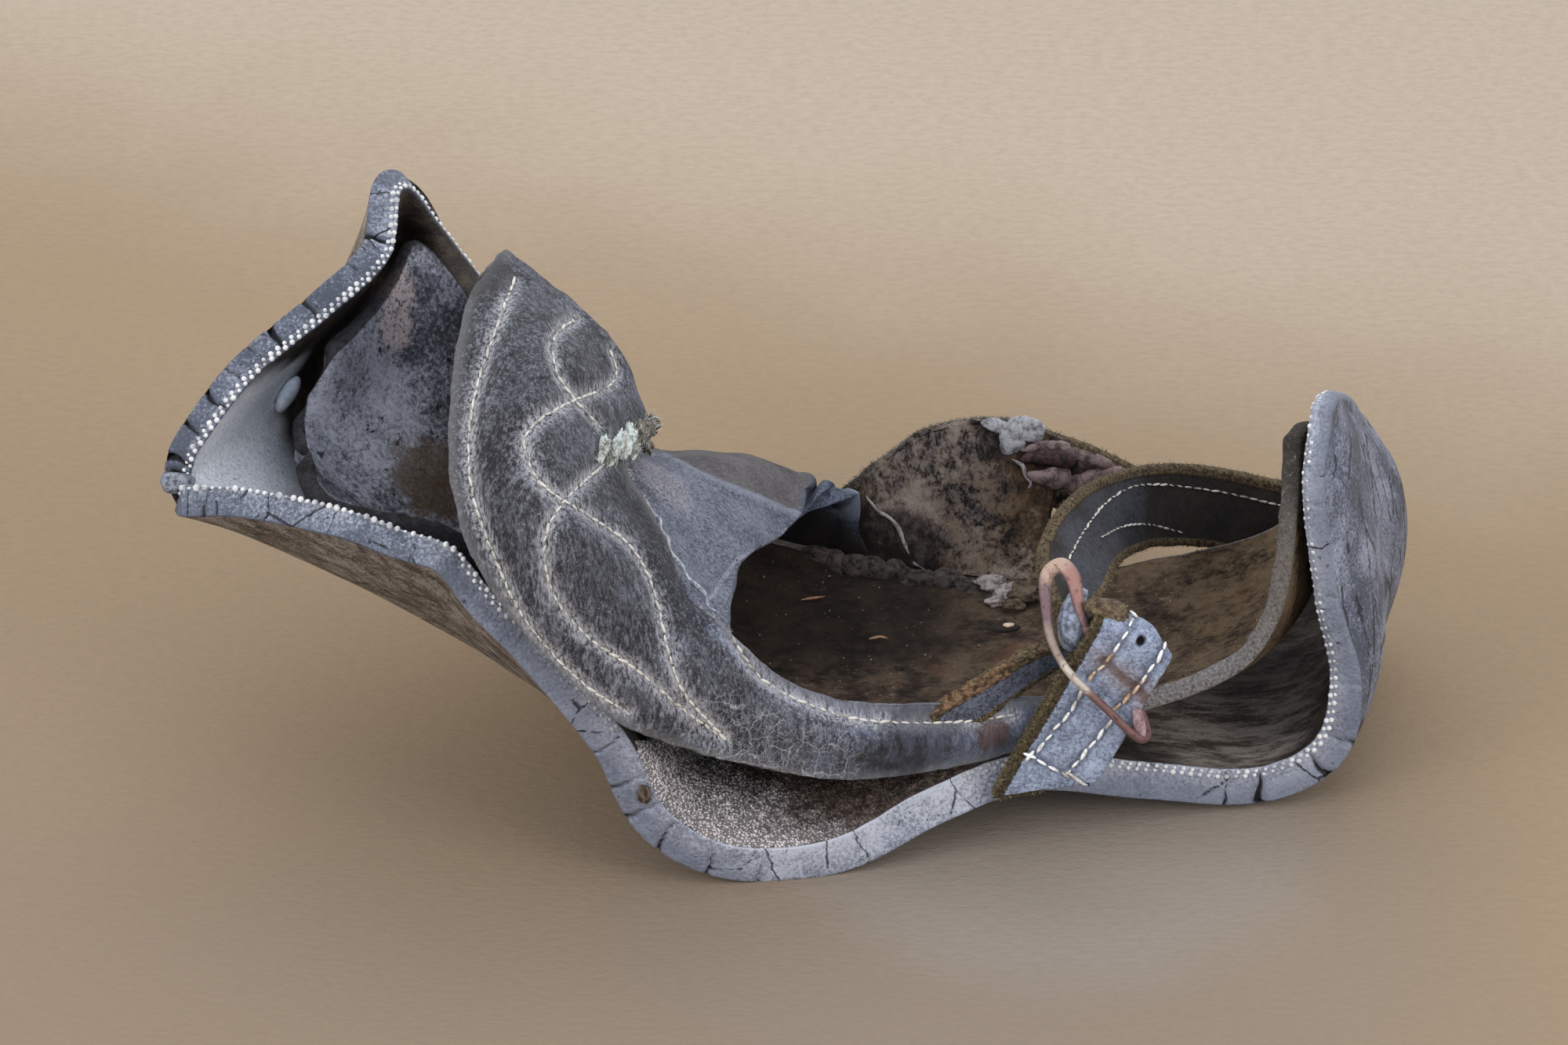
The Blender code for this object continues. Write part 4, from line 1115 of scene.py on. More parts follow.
# The vamp is one leaf of suede-like leather. It stands up over the toes to a point, folds over
# its crest and down the far side, and runs back as a band to the buckle. Cream thread sews it.
LEATHER_THICKNESS = 0.0024
FOOT_LIFT = 0.0020
LEAF_SECTIONS = [
    [(-24.2, -14, 86), (-23, -12, 88), (-21.9, -8, 89)],
    [(-25.2, -20, 84.4), (-21.2, -20, 86), (-17.5, -9, 81.2)],
    [(-26, -31, 76.3), (-19.4, -33, 81.8), (-13.5, -12, 73.7)],
    [(-26.2, -39, 67.9), (-18.7, -42, 74), (-10.5, -17, 60.5)],
    [(-25.7, -43, 63.5), (-18.5, -45.5, 70.2), (-12.5, -26, 61)],
    [(-25, -46, 58.2), (-17.8, -48.5, 64.7), (-10.7, -29, 54.9)],
    [(-22, -49, 47.7), (-15.5, -49.5, 56.6), (-9.4, -33, 51.4)],
    [(-18, -50, 37.4), (-12.5, -49, 44.8), (-7.5, -38, 43.5)],
    [(-12.5, -49, 26), (-8, -48, 34), (-4, -41, 38)],
    [(-5, -45, 17.7), (-2.5, -45, 25.2), (0, -40, 29.2)],
    [(3.7, -41, 11.3), (4.4, -42, 19.1), (5.3, -38, 24)],
    [(11.2, -36, 9.6), (11.5, -37, 16.5), (11.9, -34, 21.3)],
    [(18, -31.5, 10.5), (18, -32, 15.5), (18, -30, 19.9)],
    [(21.5, -29, 12), (21.5, -29, 15.5), (21.5, -28, 18.5)],
]
CREST_SECTIONS = 4
# Beyond the crest: the shoulder, the flank, and the place along the sole where it stands
BACK_SECTIONS = [
    ((-22.5, 10, 77.5), (-23.5, 28, 66), 5.5),
    ((-18.5, 10, 68.5), (-20, 30, 55), 6.3),
    ((-14.5, 10, 59), (-16.5, 30, 45), 6.85),
    ((-11, 8, 45), (-12.5, 28, 32), 7.35),
]
BACK_FOOT_SHARE = 0.95
LEAF_ROWS = 250
LEAF_COLUMNS = 60
BACK_COLUMNS = 80

# The lines of stitching, as they run in the photograph
LEAF_SEAMS = {
    "lower": [(655, 359), (632, 423), (609, 492), (598, 563), (604, 633), (627, 700), (661, 776),
              (706, 835), (751, 877), (799, 908)],
    "petal": [(779, 451), (786, 474), (777, 492), (731, 511), (685, 538), (669, 565), (690, 616),
              (751, 658), (799, 692), (824, 729), (839, 773), (852, 830), (872, 883), (922, 939)],
    "petal_top": [(736, 405), (707, 430), (708, 469), (726, 501), (763, 543)],
    "long": [(771, 591), (719, 640), (695, 689), (706, 757), (751, 813), (813, 855), (869, 903),
             (922, 941)],
    "collar": [(936, 816), (964, 858), (998, 883), (1050, 905), (1100, 918), (1180, 922), (1250, 918),
               (1290, 912)],
}
# Where the leaf's edge is torn against the lining
TORN_EDGE = [(786, 622), (800, 645), (820, 668), (838, 702), (852, 736), (868, 762), (888, 790)]
SEAM_DEPTH = 0.0007
SEAM_HALF = 0.0011
STITCH_PITCH = 0.00175
STITCH = {"Length": 0.00195, "Width": 0.00052, "Height": 0.00045}
THREAD_PALE = (0.70, 0.66, 0.58)
THREAD_SOILED = (0.22, 0.20, 0.175)


def sole_at(section, share):
    """A point of the sole's upper face, at a place counted in sections and a share across."""
    columns = np.array(outsole_rows).transpose(1, 0, 2)
    across = [curve_at(column, np.array([section]))[0] for column in columns]
    return curve_at(across, np.array([share * (len(across) - 1)]))[0]


def foot_on_sole(section, share, clear=FOOT_LIFT):
    """A point held clear of the sole's upper face."""
    along = sole_at(section + 0.1, share) - sole_at(section - 0.1, share)
    across = sole_at(section, share + 0.02) - sole_at(section, share - 0.02)
    return sole_at(section, share) + unit(np.cross(along, across)) * clear


leaf_rows = [[place(*point) for point in row] for row in LEAF_SECTIONS]
leaf_grid = resample(leaf_rows, even(LEAF_COLUMNS), even(LEAF_ROWS))
crest = [place(*LEAF_SECTIONS[i][2]) for i in range(CREST_SECTIONS)]
crest_run = np.linalg.norm(leaf_grid[: LEAF_ROWS // 2, -1] - leaf_grid[0, -1], axis=1)
crest_count = 1 + int(np.sum(crest_run <= np.linalg.norm(crest[-1] - leaf_grid[0, -1])))
back_rows = [
    [start, place(*shoulder), place(*flank), foot_on_sole(foot, BACK_FOOT_SHARE)]
    for start, (shoulder, flank, foot) in zip(crest, BACK_SECTIONS)
]
back_grid = resample(back_rows, even(BACK_COLUMNS), even(crest_count))
leaf_whole = np.zeros((LEAF_ROWS, LEAF_COLUMNS + BACK_COLUMNS - 1, 3))
leaf_whole[:, :LEAF_COLUMNS] = leaf_grid
leaf_whole[:crest_count, LEAF_COLUMNS:] = back_grid[:, 1:]
leaf_cells = np.zeros((LEAF_ROWS - 1, LEAF_COLUMNS + BACK_COLUMNS - 2), bool)
leaf_cells[:, : LEAF_COLUMNS - 1] = True
leaf_cells[: crest_count - 1] = True
leaf = Sheet(leaf_whole, leaf_cells)
leaf.move(leaf.bumps(0.0005, 0.016, 2.0) * np.clip(leaf.edge / 0.004, 0, 1))
leaf_surface = leaf.bvh()
seam_paths = {key: photo_path(leaf_surface, pixels) for key, pixels in LEAF_SEAMS.items()}


def distance_to(points, lines):
    """How far each point is from the nearest of some lines of points."""
    every = np.concatenate(lines)
    tree = KDTree(len(every))
    for k, point in enumerate(every):
        tree.insert(point, k)
    tree.balance()
    return np.array([tree.find(point)[2] for point in points])


seam_away = distance_to(leaf.points, [line for line, _ in seam_paths.values()])
leaf_front = -SEAM_DEPTH * hump(seam_away, SEAM_HALF)
leaf_front += 0.0005 * hump(seam_away - 0.0034, 0.0022)
leaf_front += leaf.bumps(0.00030, 0.005, 9.0) + leaf.bumps(0.00012, 0.0017, 4.0)

LEAF_DARK = (0.014, 0.0135, 0.0165)
LEAF_MID = (0.098, 0.099, 0.119)
LEAF_PALE = (0.55, 0.545, 0.57)
LEAF_EDGE = (0.17, 0.163, 0.165)
RUST_SPOT = (0.085, 0.036, 0.022)
GRAIN_BLUE = (0.112, 0.128, 0.184)
COLLAR_BLUE = (0.20, 0.235, 0.34)
TIP_BROWN = (0.030, 0.026, 0.024)
# Places on the leaf that its finish goes by, in pixels
LEAF_MARKS = {"tip": (622, 352), "tail": (1175, 945), "rust": (1268, 936)}
# Where pale cracks spread like a web: a pixel and a reach each
WEB_SPOTS = [((912, 922), 0.0075), ((955, 952), 0.0090), ((1005, 970), 0.0085), ((1055, 975), 0.0075)]

torn_away = distance_to(leaf.points, [photo_path(leaf_surface, TORN_EDGE)[0]])
suede = Finish("napped_suede", roughness=0.86, specular=0.28, sheen=0.1)
nap = suede.grain(0.00050, 6, 0.85, suede.places((1, 1, 0.30), (0, 0.6, 0)), 0.2)
nap_long = suede.grain(0.0015, 5, 0.75, suede.places((1, 1, 0.20), (0, 0.6, 0)))
suede_patches = suede.grain(0.013, 5, 0.6)
seam = suede.attribute("seam")
leaf_edge = suede.attribute("edge")
tail = suede.step(suede.axis(0, of="place"), -0.004, 0.022)
leaf_mix = suede.step(suede_patches * 0.40 + nap * 0.95 + nap_long * 0.45 - tail * 0.06, 0.74, 1.06)
suede.color = suede.blend(leaf_mix, LEAF_DARK, LEAF_MID)
blue_part = suede.step(nap_long * 0.6 + suede_patches * 0.6 + tail * 0.15, 0.60, 0.80) * (0.30 + tail * 0.55)
suede.coat(blue_part, GRAIN_BLUE)
flecks = suede.step(suede.grain(0.00042, 4, 0.8), 0.57, 0.67) * suede.step(suede_patches, 0.34, 0.58)
suede.coat(flecks * 0.45, LEAF_PALE)
collar_strip = suede.step(leaf_edge, 0.0034, 0.0020) * suede.step(suede.axis(0, of="place"), -0.020, -0.008)
collar_strip = collar_strip * suede.step(suede.axis(2, of="place"), 0.024, 0.029)
suede.coat(collar_strip * suede.step(nap, 0.30, 0.62) * 0.8, COLLAR_BLUE)
dust_near = suede.step(seam + (nap_long - 0.5) * 0.0036, 0.0022, 0.0003) * suede.step(nap, 0.36, 0.60)
suede.coat(dust_near * 0.72, LEAF_PALE)
streaks_near = suede.step(seam, 0.0075, 0.0010) * suede.step(nap_long * 0.5 + nap * 0.7, 0.58, 0.76)
suede.coat(streaks_near * 0.30, LEAF_PALE)
low_dust = suede.step(suede.axis(2, of="place") + suede.axis(0, of="place") * 0.65, 0.028, 0.006)
suede.coat(low_dust * suede.step(nap_long * 0.6 + nap * 0.6, 0.58, 0.74) * 0.45, LEAF_PALE)
edge_wear = suede.step(leaf_edge + (nap - 0.5) * 0.004 + (nap_long - 0.5) * 0.004, 0.0024, 0.0003)
suede.coat(edge_wear * 0.55, LEAF_EDGE)
torn_margin = suede.step(suede.attribute("torn") + (nap_long - 0.5) * 0.005, 0.0052, 0.0016)
suede.coat(torn_margin * suede.step(nap, 0.66, 0.46) * 0.9, LEAF_DARK)
leaf_spots = seen_spots(leaf_surface, LEAF_MARKS)
tip_dark = suede.near(leaf_spots["tip"], 0.0060, 0.6)
suede.coat(tip_dark * 0.65, TIP_BROWN)
tail_dark = suede.near(leaf_spots["tail"], 0.0085, 0.6) * suede.step(nap, 0.30, 0.56)
suede.coat(tail_dark * 0.6, LEAF_DARK)
web_parts = [suede.near(on_surface(leaf_surface, *pixel)[0], reach, 0.3) for pixel, reach in WEB_SPOTS]
web_area = web_parts[0]
for part in web_parts[1:]:
    web_area = (web_area + part).math("MINIMUM", 1)
web_noise = {"Scale": 500.0, "Detail": 3.0, "Vector": suede.places()}
web_warp = suede.node("ShaderNodeTexNoise", {}, web_noise, out="Color")
web_shift = suede.node("ShaderNodeVectorMath", {"operation": "SCALE"}, {0: web_warp, "Scale": 0.0022})
web_where = suede.node("ShaderNodeVectorMath", {"operation": "ADD"},
                       {0: suede.places((1, 1, 0.8)), 1: web_shift})
web = suede.cracks(0.0036, 0.00011, web_where) * 0.50 + suede.cracks(0.0014, 0.00008, web_where) * 0.30
suede.coat((web * web_area).math("MINIMUM", 1), LEAF_PALE)
suede.coat(suede.near(leaf_spots["rust"], 0.0036, 0.6) * 0.7, RUST_SPOT)
suede.finish(relief=nap * 0.8 + nap_long * 0.8 + suede_patches * 0.6, depth=0.00045)

leaf_piece = shell("vamp_leaf", leaf, LEATHER_THICKNESS, suede.material, steps=8, swell=0.0003, square=0.8,
                   front=leaf_front, extra={"seam": seam_away, "torn": torn_away}, ragged=0.0004)
attach(leaf_piece, "upper_leather", "upper")

thread = Finish("cream_thread", roughness=0.8)
thread_mix = thread.step(thread.grain(0.0045, 5, 0.75), 0.34, 0.56)
thread_color = thread.blend(thread_mix, THREAD_SOILED, THREAD_PALE)
thread.finish(thread_color, relief=thread.grain(0.0003, 2, 0.5), depth=0.0001)
seam_surface = BVHTree.FromPolygons(
    (leaf.points + leaf.normals * leaf_front[:, None]).tolist(), leaf.quads.tolist()
)


def stitched(name, surface, rows, slot, seed, material=None, lift=0.00008, **sizes):
    """A row of stitches along each of some lines of the photo, laid on a surface."""
    lines = []
    for pixels in rows:
        line, facing = photo_path(surface, pixels)
        lines.append((line + facing * lift, facing))
    values = {"Pitch": STITCH_PITCH, **STITCH, "Unevenness": 0.3, "Turn": 0.22, "Seed": seed,
              "Finish": material or thread.material, **sizes}
    return attach(grown(name, lines, ROW_TREE, values), slot)


stitched("vamp_stitches", seam_surface, LEAF_SEAMS.values(), "upper_leather", 7)


def band_along(sheet, thickness, offset, chosen):
    """The outer band of a sheet's rim where chosen holds at a border point: points and faces."""
    rim = np.array(sheet.border)
    lift = (offset + 1) / 2 * thickness
    high = sheet.points[rim] + sheet.normals[rim] * lift + sheet.outward * 0.0001
    low = high - sheet.normals[rim] * thickness
    count = len(rim)
    faces = [
        (k, k + count, (k + 1) % count + count, (k + 1) % count)
        for k in range(count) if chosen[k] and chosen[(k + 1) % count]
    ]
    return np.concatenate((high, low)), faces


def fuzz(name, sheet, thickness, offset, chosen, slot, material, length=0.0011, density=1.1e6, seed=1):
    """Short fibres standing out from a cut edge."""
    points, faces = band_along(sheet, thickness, offset, chosen)
    piece = scattered(name, points, faces, {
        "Density": density, "Size": (0.00016, 0.00016, length), "Least": 0.25, "Tilt": 1.0, "Seed": seed,
        "Finish": material,
    }, FIBRE_TREE)
    return attach(piece, slot)


pale_fibre = speckled("pale_fibres", (0.14, 0.13, 0.13), (0.52, 0.50, 0.48), 0.003)
leaf_border = np.array(leaf.border)
leaf_edge_seen = to_photo(leaf.points[leaf_border])
seen_u, seen_v = leaf_edge_seen.T
right_edge = (seen_u > 770) & (seen_u < 935) & (seen_v > 585) & (seen_v < 815)
fuzz("leaf_edge_fibres", leaf, LEATHER_THICKNESS, -1, right_edge, "upper_leather", pale_fibre,
     0.0009, 2.2e7, 5)

# Under the torn notch a frayed scrap of pale green lining stands out of the crest
scrap_green = speckled("lining_scrap", (0.17, 0.18, 0.16), (0.72, 0.78, 0.74), 0.0013, 0.34, 0.52, 0.0008)
scrap_brown = speckled("lining_brown", (0.07, 0.058, 0.042), (0.27, 0.245, 0.20), 0.0010, 0.36, 0.6, 0.0008)
# Each scrap's pixel, size and finish
SCRAPS = [
    ((768, 570), (0.0048, 0.0022, 0.0014), scrap_green),
    ((782, 574), (0.0062, 0.0026, 0.0016), scrap_green),
    ((798, 562), (0.0064, 0.0030, 0.0022), scrap_green),
    ((816, 550), (0.0044, 0.0030, 0.0018), scrap_brown),
    ((824, 566), (0.0034, 0.0046, 0.0018), scrap_brown),
    ((806, 578), (0.0040, 0.0018, 0.0012), scrap_green),
    ((829, 542), (0.0030, 0.0040, 0.0016), scrap_brown),
]


def torn_bits(name, surface, bits, slot, lift, toward, bumps, seed, seed_step, sides=40):
    """Bits lying on a surface, each with its pixel in the photo, its size and its finish."""
    for number, (pixel, size, material) in enumerate(bits):
        spot, facing = on_surface(surface, *pixel)
        bit = lump(f"{name}_{number + 1}", spot + facing * (lift or size[2] * 0.4), facing, toward, size,
                   material, bumps=bumps, seed=number * seed_step + seed, sides=sides)
        attach(bit, slot)


torn_bits("notch_scrap", seam_surface, SCRAPS, "upper_leather", 0.0003, (0.9, 0, 0.35), 0.62, 0.0, 2.3)
scrap_bed_points, scrap_bed_faces = [], []
for number, (pixel, size, _) in enumerate(SCRAPS):
    spot, facing = on_surface(seam_surface, *pixel)
    side = np.array(facing.cross(Vector((0, 0, 1))).normalized())
    up = np.cross(side, np.array(facing))
    base = np.array(spot) + np.array(facing) * 0.0010
    first = len(scrap_bed_points)
    for across, along in ((-1, -1), (1, -1), (1, 1), (-1, 1)):
        scrap_bed_points.append(base + side * across * size[0] * 0.42 + up * along * size[1] * 0.42)
    scrap_bed_faces.append((first, first + 1, first + 2, first + 3))
scrap_fibre = speckled("scrap_fibres", (0.20, 0.195, 0.165), (0.60, 0.60, 0.54), 0.0022)
notch_fuzz = scattered("notch_fibres", np.array(scrap_bed_points), scrap_bed_faces, {
    "Density": 1.1e7, "Size": (0.00020, 0.00020, 0.0024), "Least": 0.2, "Tilt": 1.6, "Seed": 11,
    "Finish": scrap_fibre,
}, FIBRE_TREE)
attach(notch_fuzz, "upper_leather")


# Behind the leaf the vamp's inner layer drapes over the instep. It is smooth and dusty pale on
# the near side, and folds down into dark pleats on the far side.
WALL_FOOT_SHARE = 0.96
INNER_SECTIONS = [
    ((-16, -40, 50), (-15, -12, 52), (-15, 18, 40), 6.3),
    ((-11, -35, 49), (-11.8, -12, 51.2), (-10.5, 18, 35), 7.1),
    ((-5, -41, 36.5), (-7.6, -10, 45), (-6.8, 18, 36), 7.8),
    ((-4.2, -31, 38), (-5.6, -4, 42.4), (-4.8, 21, 34), 8.2),
    ((-3.4, -20, 38.7), (-3.4, 3, 38.9), (-2.6, 24, 31.5), 8.6),
    ((-0.5, 0, 31.8), (0, 13, 30.8), (1, 28, 26.3), 9.2),
    ((2.4, 20, 26.3), (3, 27, 24.5), (4, 34, 19), 9.8),
    ((5.6, 34, 21), (5.8, 36, 16), (6, 37.5, 11.5), 10.3),
]
# Pleats where the lining folds down the far side: place along it, half width, height
PLEATS = [
    (0.735, 0.040, 0.0006), (0.805, 0.028, -0.0013), (0.862, 0.026, 0.0010), (0.912, 0.020, -0.0013),
    (0.960, 0.026, 0.0008),
]
INNER_ROWS = 152
INNER_COLUMNS = 94
# Places and lines on the inner layer as the photo shows them, in pixels
INNER_MARKS = {"pink": (835, 618), "bulge": (1088, 640)}
COLLAR_CRACK = [(996, 681), (979, 697), (943, 715), (912, 753), (897, 772)]
RIDGE = [(848, 592), (897, 619), (958, 643), (1005, 664)]
RIDGE_BEYOND = [(1030, 648), (1075, 640)]
INNER_PALE = (0.185, 0.193, 0.238)
INNER_MID = (0.038, 0.042, 0.056)
INNER_BROWN_DARK = (0.026, 0.023, 0.024)
INNER_BROWN = (0.112, 0.100, 0.099)
INNER_DARK = (0.014, 0.017, 0.026)
INNER_FOLD = (0.130, 0.155, 0.215)
INNER_PINK = (0.330, 0.300, 0.305)
INNER_FLECKS = (0.34, 0.35, 0.40)
INNER_RIDGE_HIGHLIGHT = (0.30, 0.31, 0.36)
INNER_DEEP_SHADE = (0.020, 0.015, 0.013)
INNER_CREASE_SHADE = (0.006, 0.007, 0.010)
INNER_BULGE_HIGHLIGHT = (0.20, 0.22, 0.285)
INNER_CRACK_EDGE = (0.42, 0.43, 0.46)
INNER_CRACK = (0.02, 0.02, 0.024)


def wall_sheet(sections, across, along):
    rows = [
        [place(*collar), place(*high), place(*low), foot_on_sole(foot, WALL_FOOT_SHARE)]
        for collar, high, low, foot in sections
    ]
    return Sheet(resample(rows, even(across), even(along)))


inner = wall_sheet(INNER_SECTIONS, INNER_COLUMNS, INNER_ROWS)
inner.move(inner.bumps(0.0004, 0.012, 4.0))
pleat = np.zeros(len(inner.points))
# The hollows between the pleats get painted shade
crease_shade = np.zeros(len(inner.points))
for middle, half, height in PLEATS:
    shape = hump(inner.row - middle, half)
    pleat += height * shape
    if height < 0:
        crease_shade = np.maximum(crease_shade, hump(inner.row - middle, half * 0.9))
inner_surface = inner.bvh()
crack_line, _ = photo_path(inner_surface, COLLAR_CRACK)
ridge_line, _ = photo_path(inner_surface, RIDGE)
crack_away = distance_to(inner.points, [crack_line])
ridge_away = distance_to(inner.points, [ridge_line])
inner_seen = to_photo(inner.points)
ridge_seen = np.array(RIDGE + RIDGE_BEYOND)
beyond = np.interp(inner_seen[:, 0], ridge_seen[:, 0], ridge_seen[:, 1]) - inner_seen[:, 1]
inner_front = pleat + 0.0006 * hump(ridge_away, 0.0016) - 0.0004 * hump(crack_away, 0.0006)
inner_front += inner.bumps(0.0002, 0.004, 7.0)

lining = Finish("dusty_lining", roughness=0.78, specular=0.3)
hide_speckle = lining.grain(0.00055, 5, 0.8)
hide_patches = lining.grain(0.009, 5, 0.65)
fold_part = lining.step(lining.attribute("place") + (hide_patches - 0.5) * 0.05, 0.70, 0.78)
hide_mix = lining.step(hide_speckle * 0.95 + hide_patches * 0.45, 0.52, 0.86)
lining.color = lining.blend(hide_mix, INNER_MID, INNER_PALE)
behind = lining.step(lining.attribute("beyond") + (hide_patches - 0.5) * 8.0, 2.0, 9.0)
top_mix = lining.step(hide_speckle * 0.8 + hide_patches * 0.6, 0.46, 0.84)
lining.coat(behind, lining.blend(top_mix, INNER_BROWN_DARK, INNER_BROWN))
inner_spots = seen_spots(inner_surface, INNER_MARKS)
pink_dust = lining.near(inner_spots["pink"], 0.0085, 0.5) * lining.step(hide_speckle, 0.36, 0.60)
lining.coat(pink_dust * 0.55, INNER_PINK)
lining.coat(lining.step(hide_speckle, 0.60, 0.72) * 0.5, INNER_FLECKS)
# A pale line along the lining's ridge crest: painted highlight
lining.coat(lining.step(lining.attribute("ridge"), 0.0016, 0.0002) * 0.35, INNER_RIDGE_HIGHLIGHT)
folded = lining.blend(lining.step(hide_speckle + hide_patches * 0.4, 0.50, 0.95), INNER_DARK, INNER_FOLD)
# Painted shade: the far folds darken toward their foot by the footbed
deep_shade = lining.step(lining.attribute("deep") + (hide_patches - 0.5) * 0.3, 0.40, 0.85)
folded = lining.blend(deep_shade, folded, INNER_DEEP_SHADE)
lining.coat(fold_part, folded)
# Painted shade, near black, in the hollows of the pleats
lining.coat(lining.attribute("dark") * 0.8, INNER_CREASE_SHADE)
# A paler blue patch on the bulge beyond the ridge: painted highlight
lining.coat(lining.near(inner_spots["bulge"], 0.0045, 0.3) * 0.7, INNER_BULGE_HIGHLIGHT)
crack_edge = lining.step(lining.attribute("crack") + (hide_speckle - 0.5) * 0.0007, 0.00062, 0.00030)
lining.coat(crack_edge * 0.45, INNER_CRACK_EDGE)
crack_core = lining.step(lining.attribute("crack") + (hide_speckle - 0.5) * 0.0004, 0.00030, 0.00016)
lining.coat(crack_core, INNER_CRACK)
lining.finish(relief=hide_speckle + hide_patches, depth=0.00025)
inner_piece = shell("vamp_inner", inner, LEATHER_THICKNESS, lining.material, offset=0, steps=6,
                    front=inner_front, ragged=0.0003,
                    extra={"crack": crack_away, "ridge": ridge_away, "place": inner.row, "beyond": beyond,
                           "deep": inner.column, "dark": crease_shade * np.clip(inner.column / 0.12, 0, 1)})
attach(inner_piece, "upper_leather")


# The far quarter stands open behind the pleats: brown, fibrous flesh side, torn along its top.
QUARTER_SECTIONS = [
    ((4.9, 39, 17.5), (4.9, 40, 14), (5.1, 40, 10.5), 10.15),
    ((8, 43, 21.5), (8, 40.5, 15.5), (8.2, 38.5, 10), 10.6),
    ((11.9, 46, 25.6), (11.6, 42, 18), (11.5, 37.5, 10), 11.1),
    ((18, 47, 26.6), (17.5, 43.5, 19), (17.3, 38.5, 11), 11.8),
    ((23, 46.8, 22.8), (22.4, 44.5, 17.5), (21.6, 41.5, 12), 12.1),
]
FLESH_BROWN = (0.108, 0.064, 0.036)
FLESH_DARK = (0.012, 0.009, 0.008)
FLESH_PALE = (0.43, 0.345, 0.280)
FLESH_PINK = (0.23, 0.190, 0.178)
FLESH_GOLD = (0.150, 0.095, 0.050)
# Places and lines on the quarter as the photo shows them, in pixels
QUARTER_MARKS = {"lit_left": (1190, 620), "lit_low": (1270, 725), "gold": (1255, 665),
                 "low_shade": (1120, 745)}
QUARTER_TEAR = [(1101, 628), (1119, 648), (1137, 664), (1152, 679), (1157, 702), (1170, 715), (1186, 727)]
FLAP_LIP = [(1302, 572), (1330, 566), (1362, 571), (1400, 583), (1436, 594)]
FLAP_LINE = [(1300, 588), (1318, 581), (1345, 580), (1375, 588), (1408, 594)]
FLAP_UNDER = [(1308, 604), (1340, 607), (1376, 604), (1412, 598), (1440, 592)]
FLAP_THREAD = [(1290, 585), (1300, 592), (1304, 605), (1311, 612), (1309, 622)]

quarter = wall_sheet(QUARTER_SECTIONS, 60, 100)
quarter.move(quarter.bumps(0.0006, 0.010, 6.0) * np.clip(quarter.edge / 0.003, 0, 1))
quarter_surface = quarter.bvh()
quarter_front = quarter.bumps(0.0005, 0.005, 3.0) + quarter.bumps(0.00025, 0.0015, 8.0)
flesh = Finish("fibrous_flesh_side", roughness=0.92, specular=0.2)
flesh_patches = flesh.grain(0.012, 7, 0.72)
flesh_blotches = flesh.grain(0.0042, 6, 0.72)
flesh_fibre = flesh.grain(0.0010, 5, 0.8, flesh.places((1, 1, 0.5), (0, 0.7, 0)))
flesh_mix = flesh.step(flesh_patches * 0.7 + flesh_blotches * 0.4 + flesh_fibre * 0.35, 0.62, 0.90)
flesh.color = flesh.blend(flesh_mix, FLESH_DARK, FLESH_BROWN)
quarter_spots = seen_spots(quarter_surface, QUARTER_MARKS)
lit_left = flesh.near(quarter_spots["lit_left"], 0.015, 0.5)
lit_low = flesh.near(quarter_spots["lit_low"], 0.008, 0.5)
pale_part = flesh_blotches * 0.55 + flesh_patches * 0.35 + flesh_fibre * 0.35
pale_part = pale_part + lit_left * 0.10 + lit_low * 0.10
flesh.coat(flesh.step(pale_part, 0.66, 0.86) * 0.75, FLESH_PALE)
flesh.coat(lit_left * flesh.step(flesh_fibre, 0.40, 0.60) * 0.5, FLESH_PINK)
gold_part = flesh.step(flesh_fibre * 0.5 + flesh_blotches * 0.6, 0.48, 0.68)
gold_part = flesh.near(quarter_spots["gold"], 0.0120, 0.6) * gold_part
flesh.coat(gold_part * 0.75, FLESH_GOLD)
low_shade = flesh.near(quarter_spots["low_shade"], 0.012, 0.4)
flesh.coat(low_shade * 0.75, FLESH_DARK)
flesh.finish(relief=flesh_fibre + flesh_patches, depth=0.0008)
attach(shell("far_quarter", quarter, LEATHER_THICKNESS, flesh.material, offset=0, steps=6, swell=0.0006,
             square=0.8, front=quarter_front, ragged=0.0006), "upper_leather")


def tube(name, line, radius, sides, material, closed=False, flat=1.0, flat_along=None):
    """A rod along a line, with its own radius at each point and flattened along one way."""
    radius = np.broadcast_to(np.asarray(radius, float), (len(line),))
    flat = np.broadcast_to(np.asarray(flat, float), (len(line),))
    if closed:
        ahead = unit(np.roll(line, -1, axis=0) - np.roll(line, 1, axis=0))
    else:
        ahead = unit(np.gradient(line, axis=0))
    side = unit(np.cross(ahead[0], (0.3, 0.2, 0.9)))
    turns = np.arange(sides) * 2 * math.pi / sides
    rings = []
    for k, point in enumerate(line):
        if flat_along is not None:
            side = np.array(flat_along, float)
        side = unit(side - ahead[k] * side.dot(ahead[k]))
        other = np.cross(ahead[k], side)
        ring = np.outer(np.cos(turns) * flat[k], side) + np.outer(np.sin(turns), other)
        rings.append(point + ring * radius[k])
    rows = len(line)
    index = np.arange(rows * sides).reshape(rows, sides)
    below = np.roll(index, -1, axis=0) if closed else index[1:]
    above = index if closed else index[:-1]
    quads = np.stack((above, np.roll(above, -1, axis=1), np.roll(below, -1, axis=1), below), axis=-1)
    faces = quads.reshape(-1, 4).tolist()
    if not closed:
        faces.append(index[0][::-1].tolist())
        faces.append(index[-1].tolist())
    return build(name, np.concatenate(rings), faces, {}, material)


STRAND_SIDES = 9


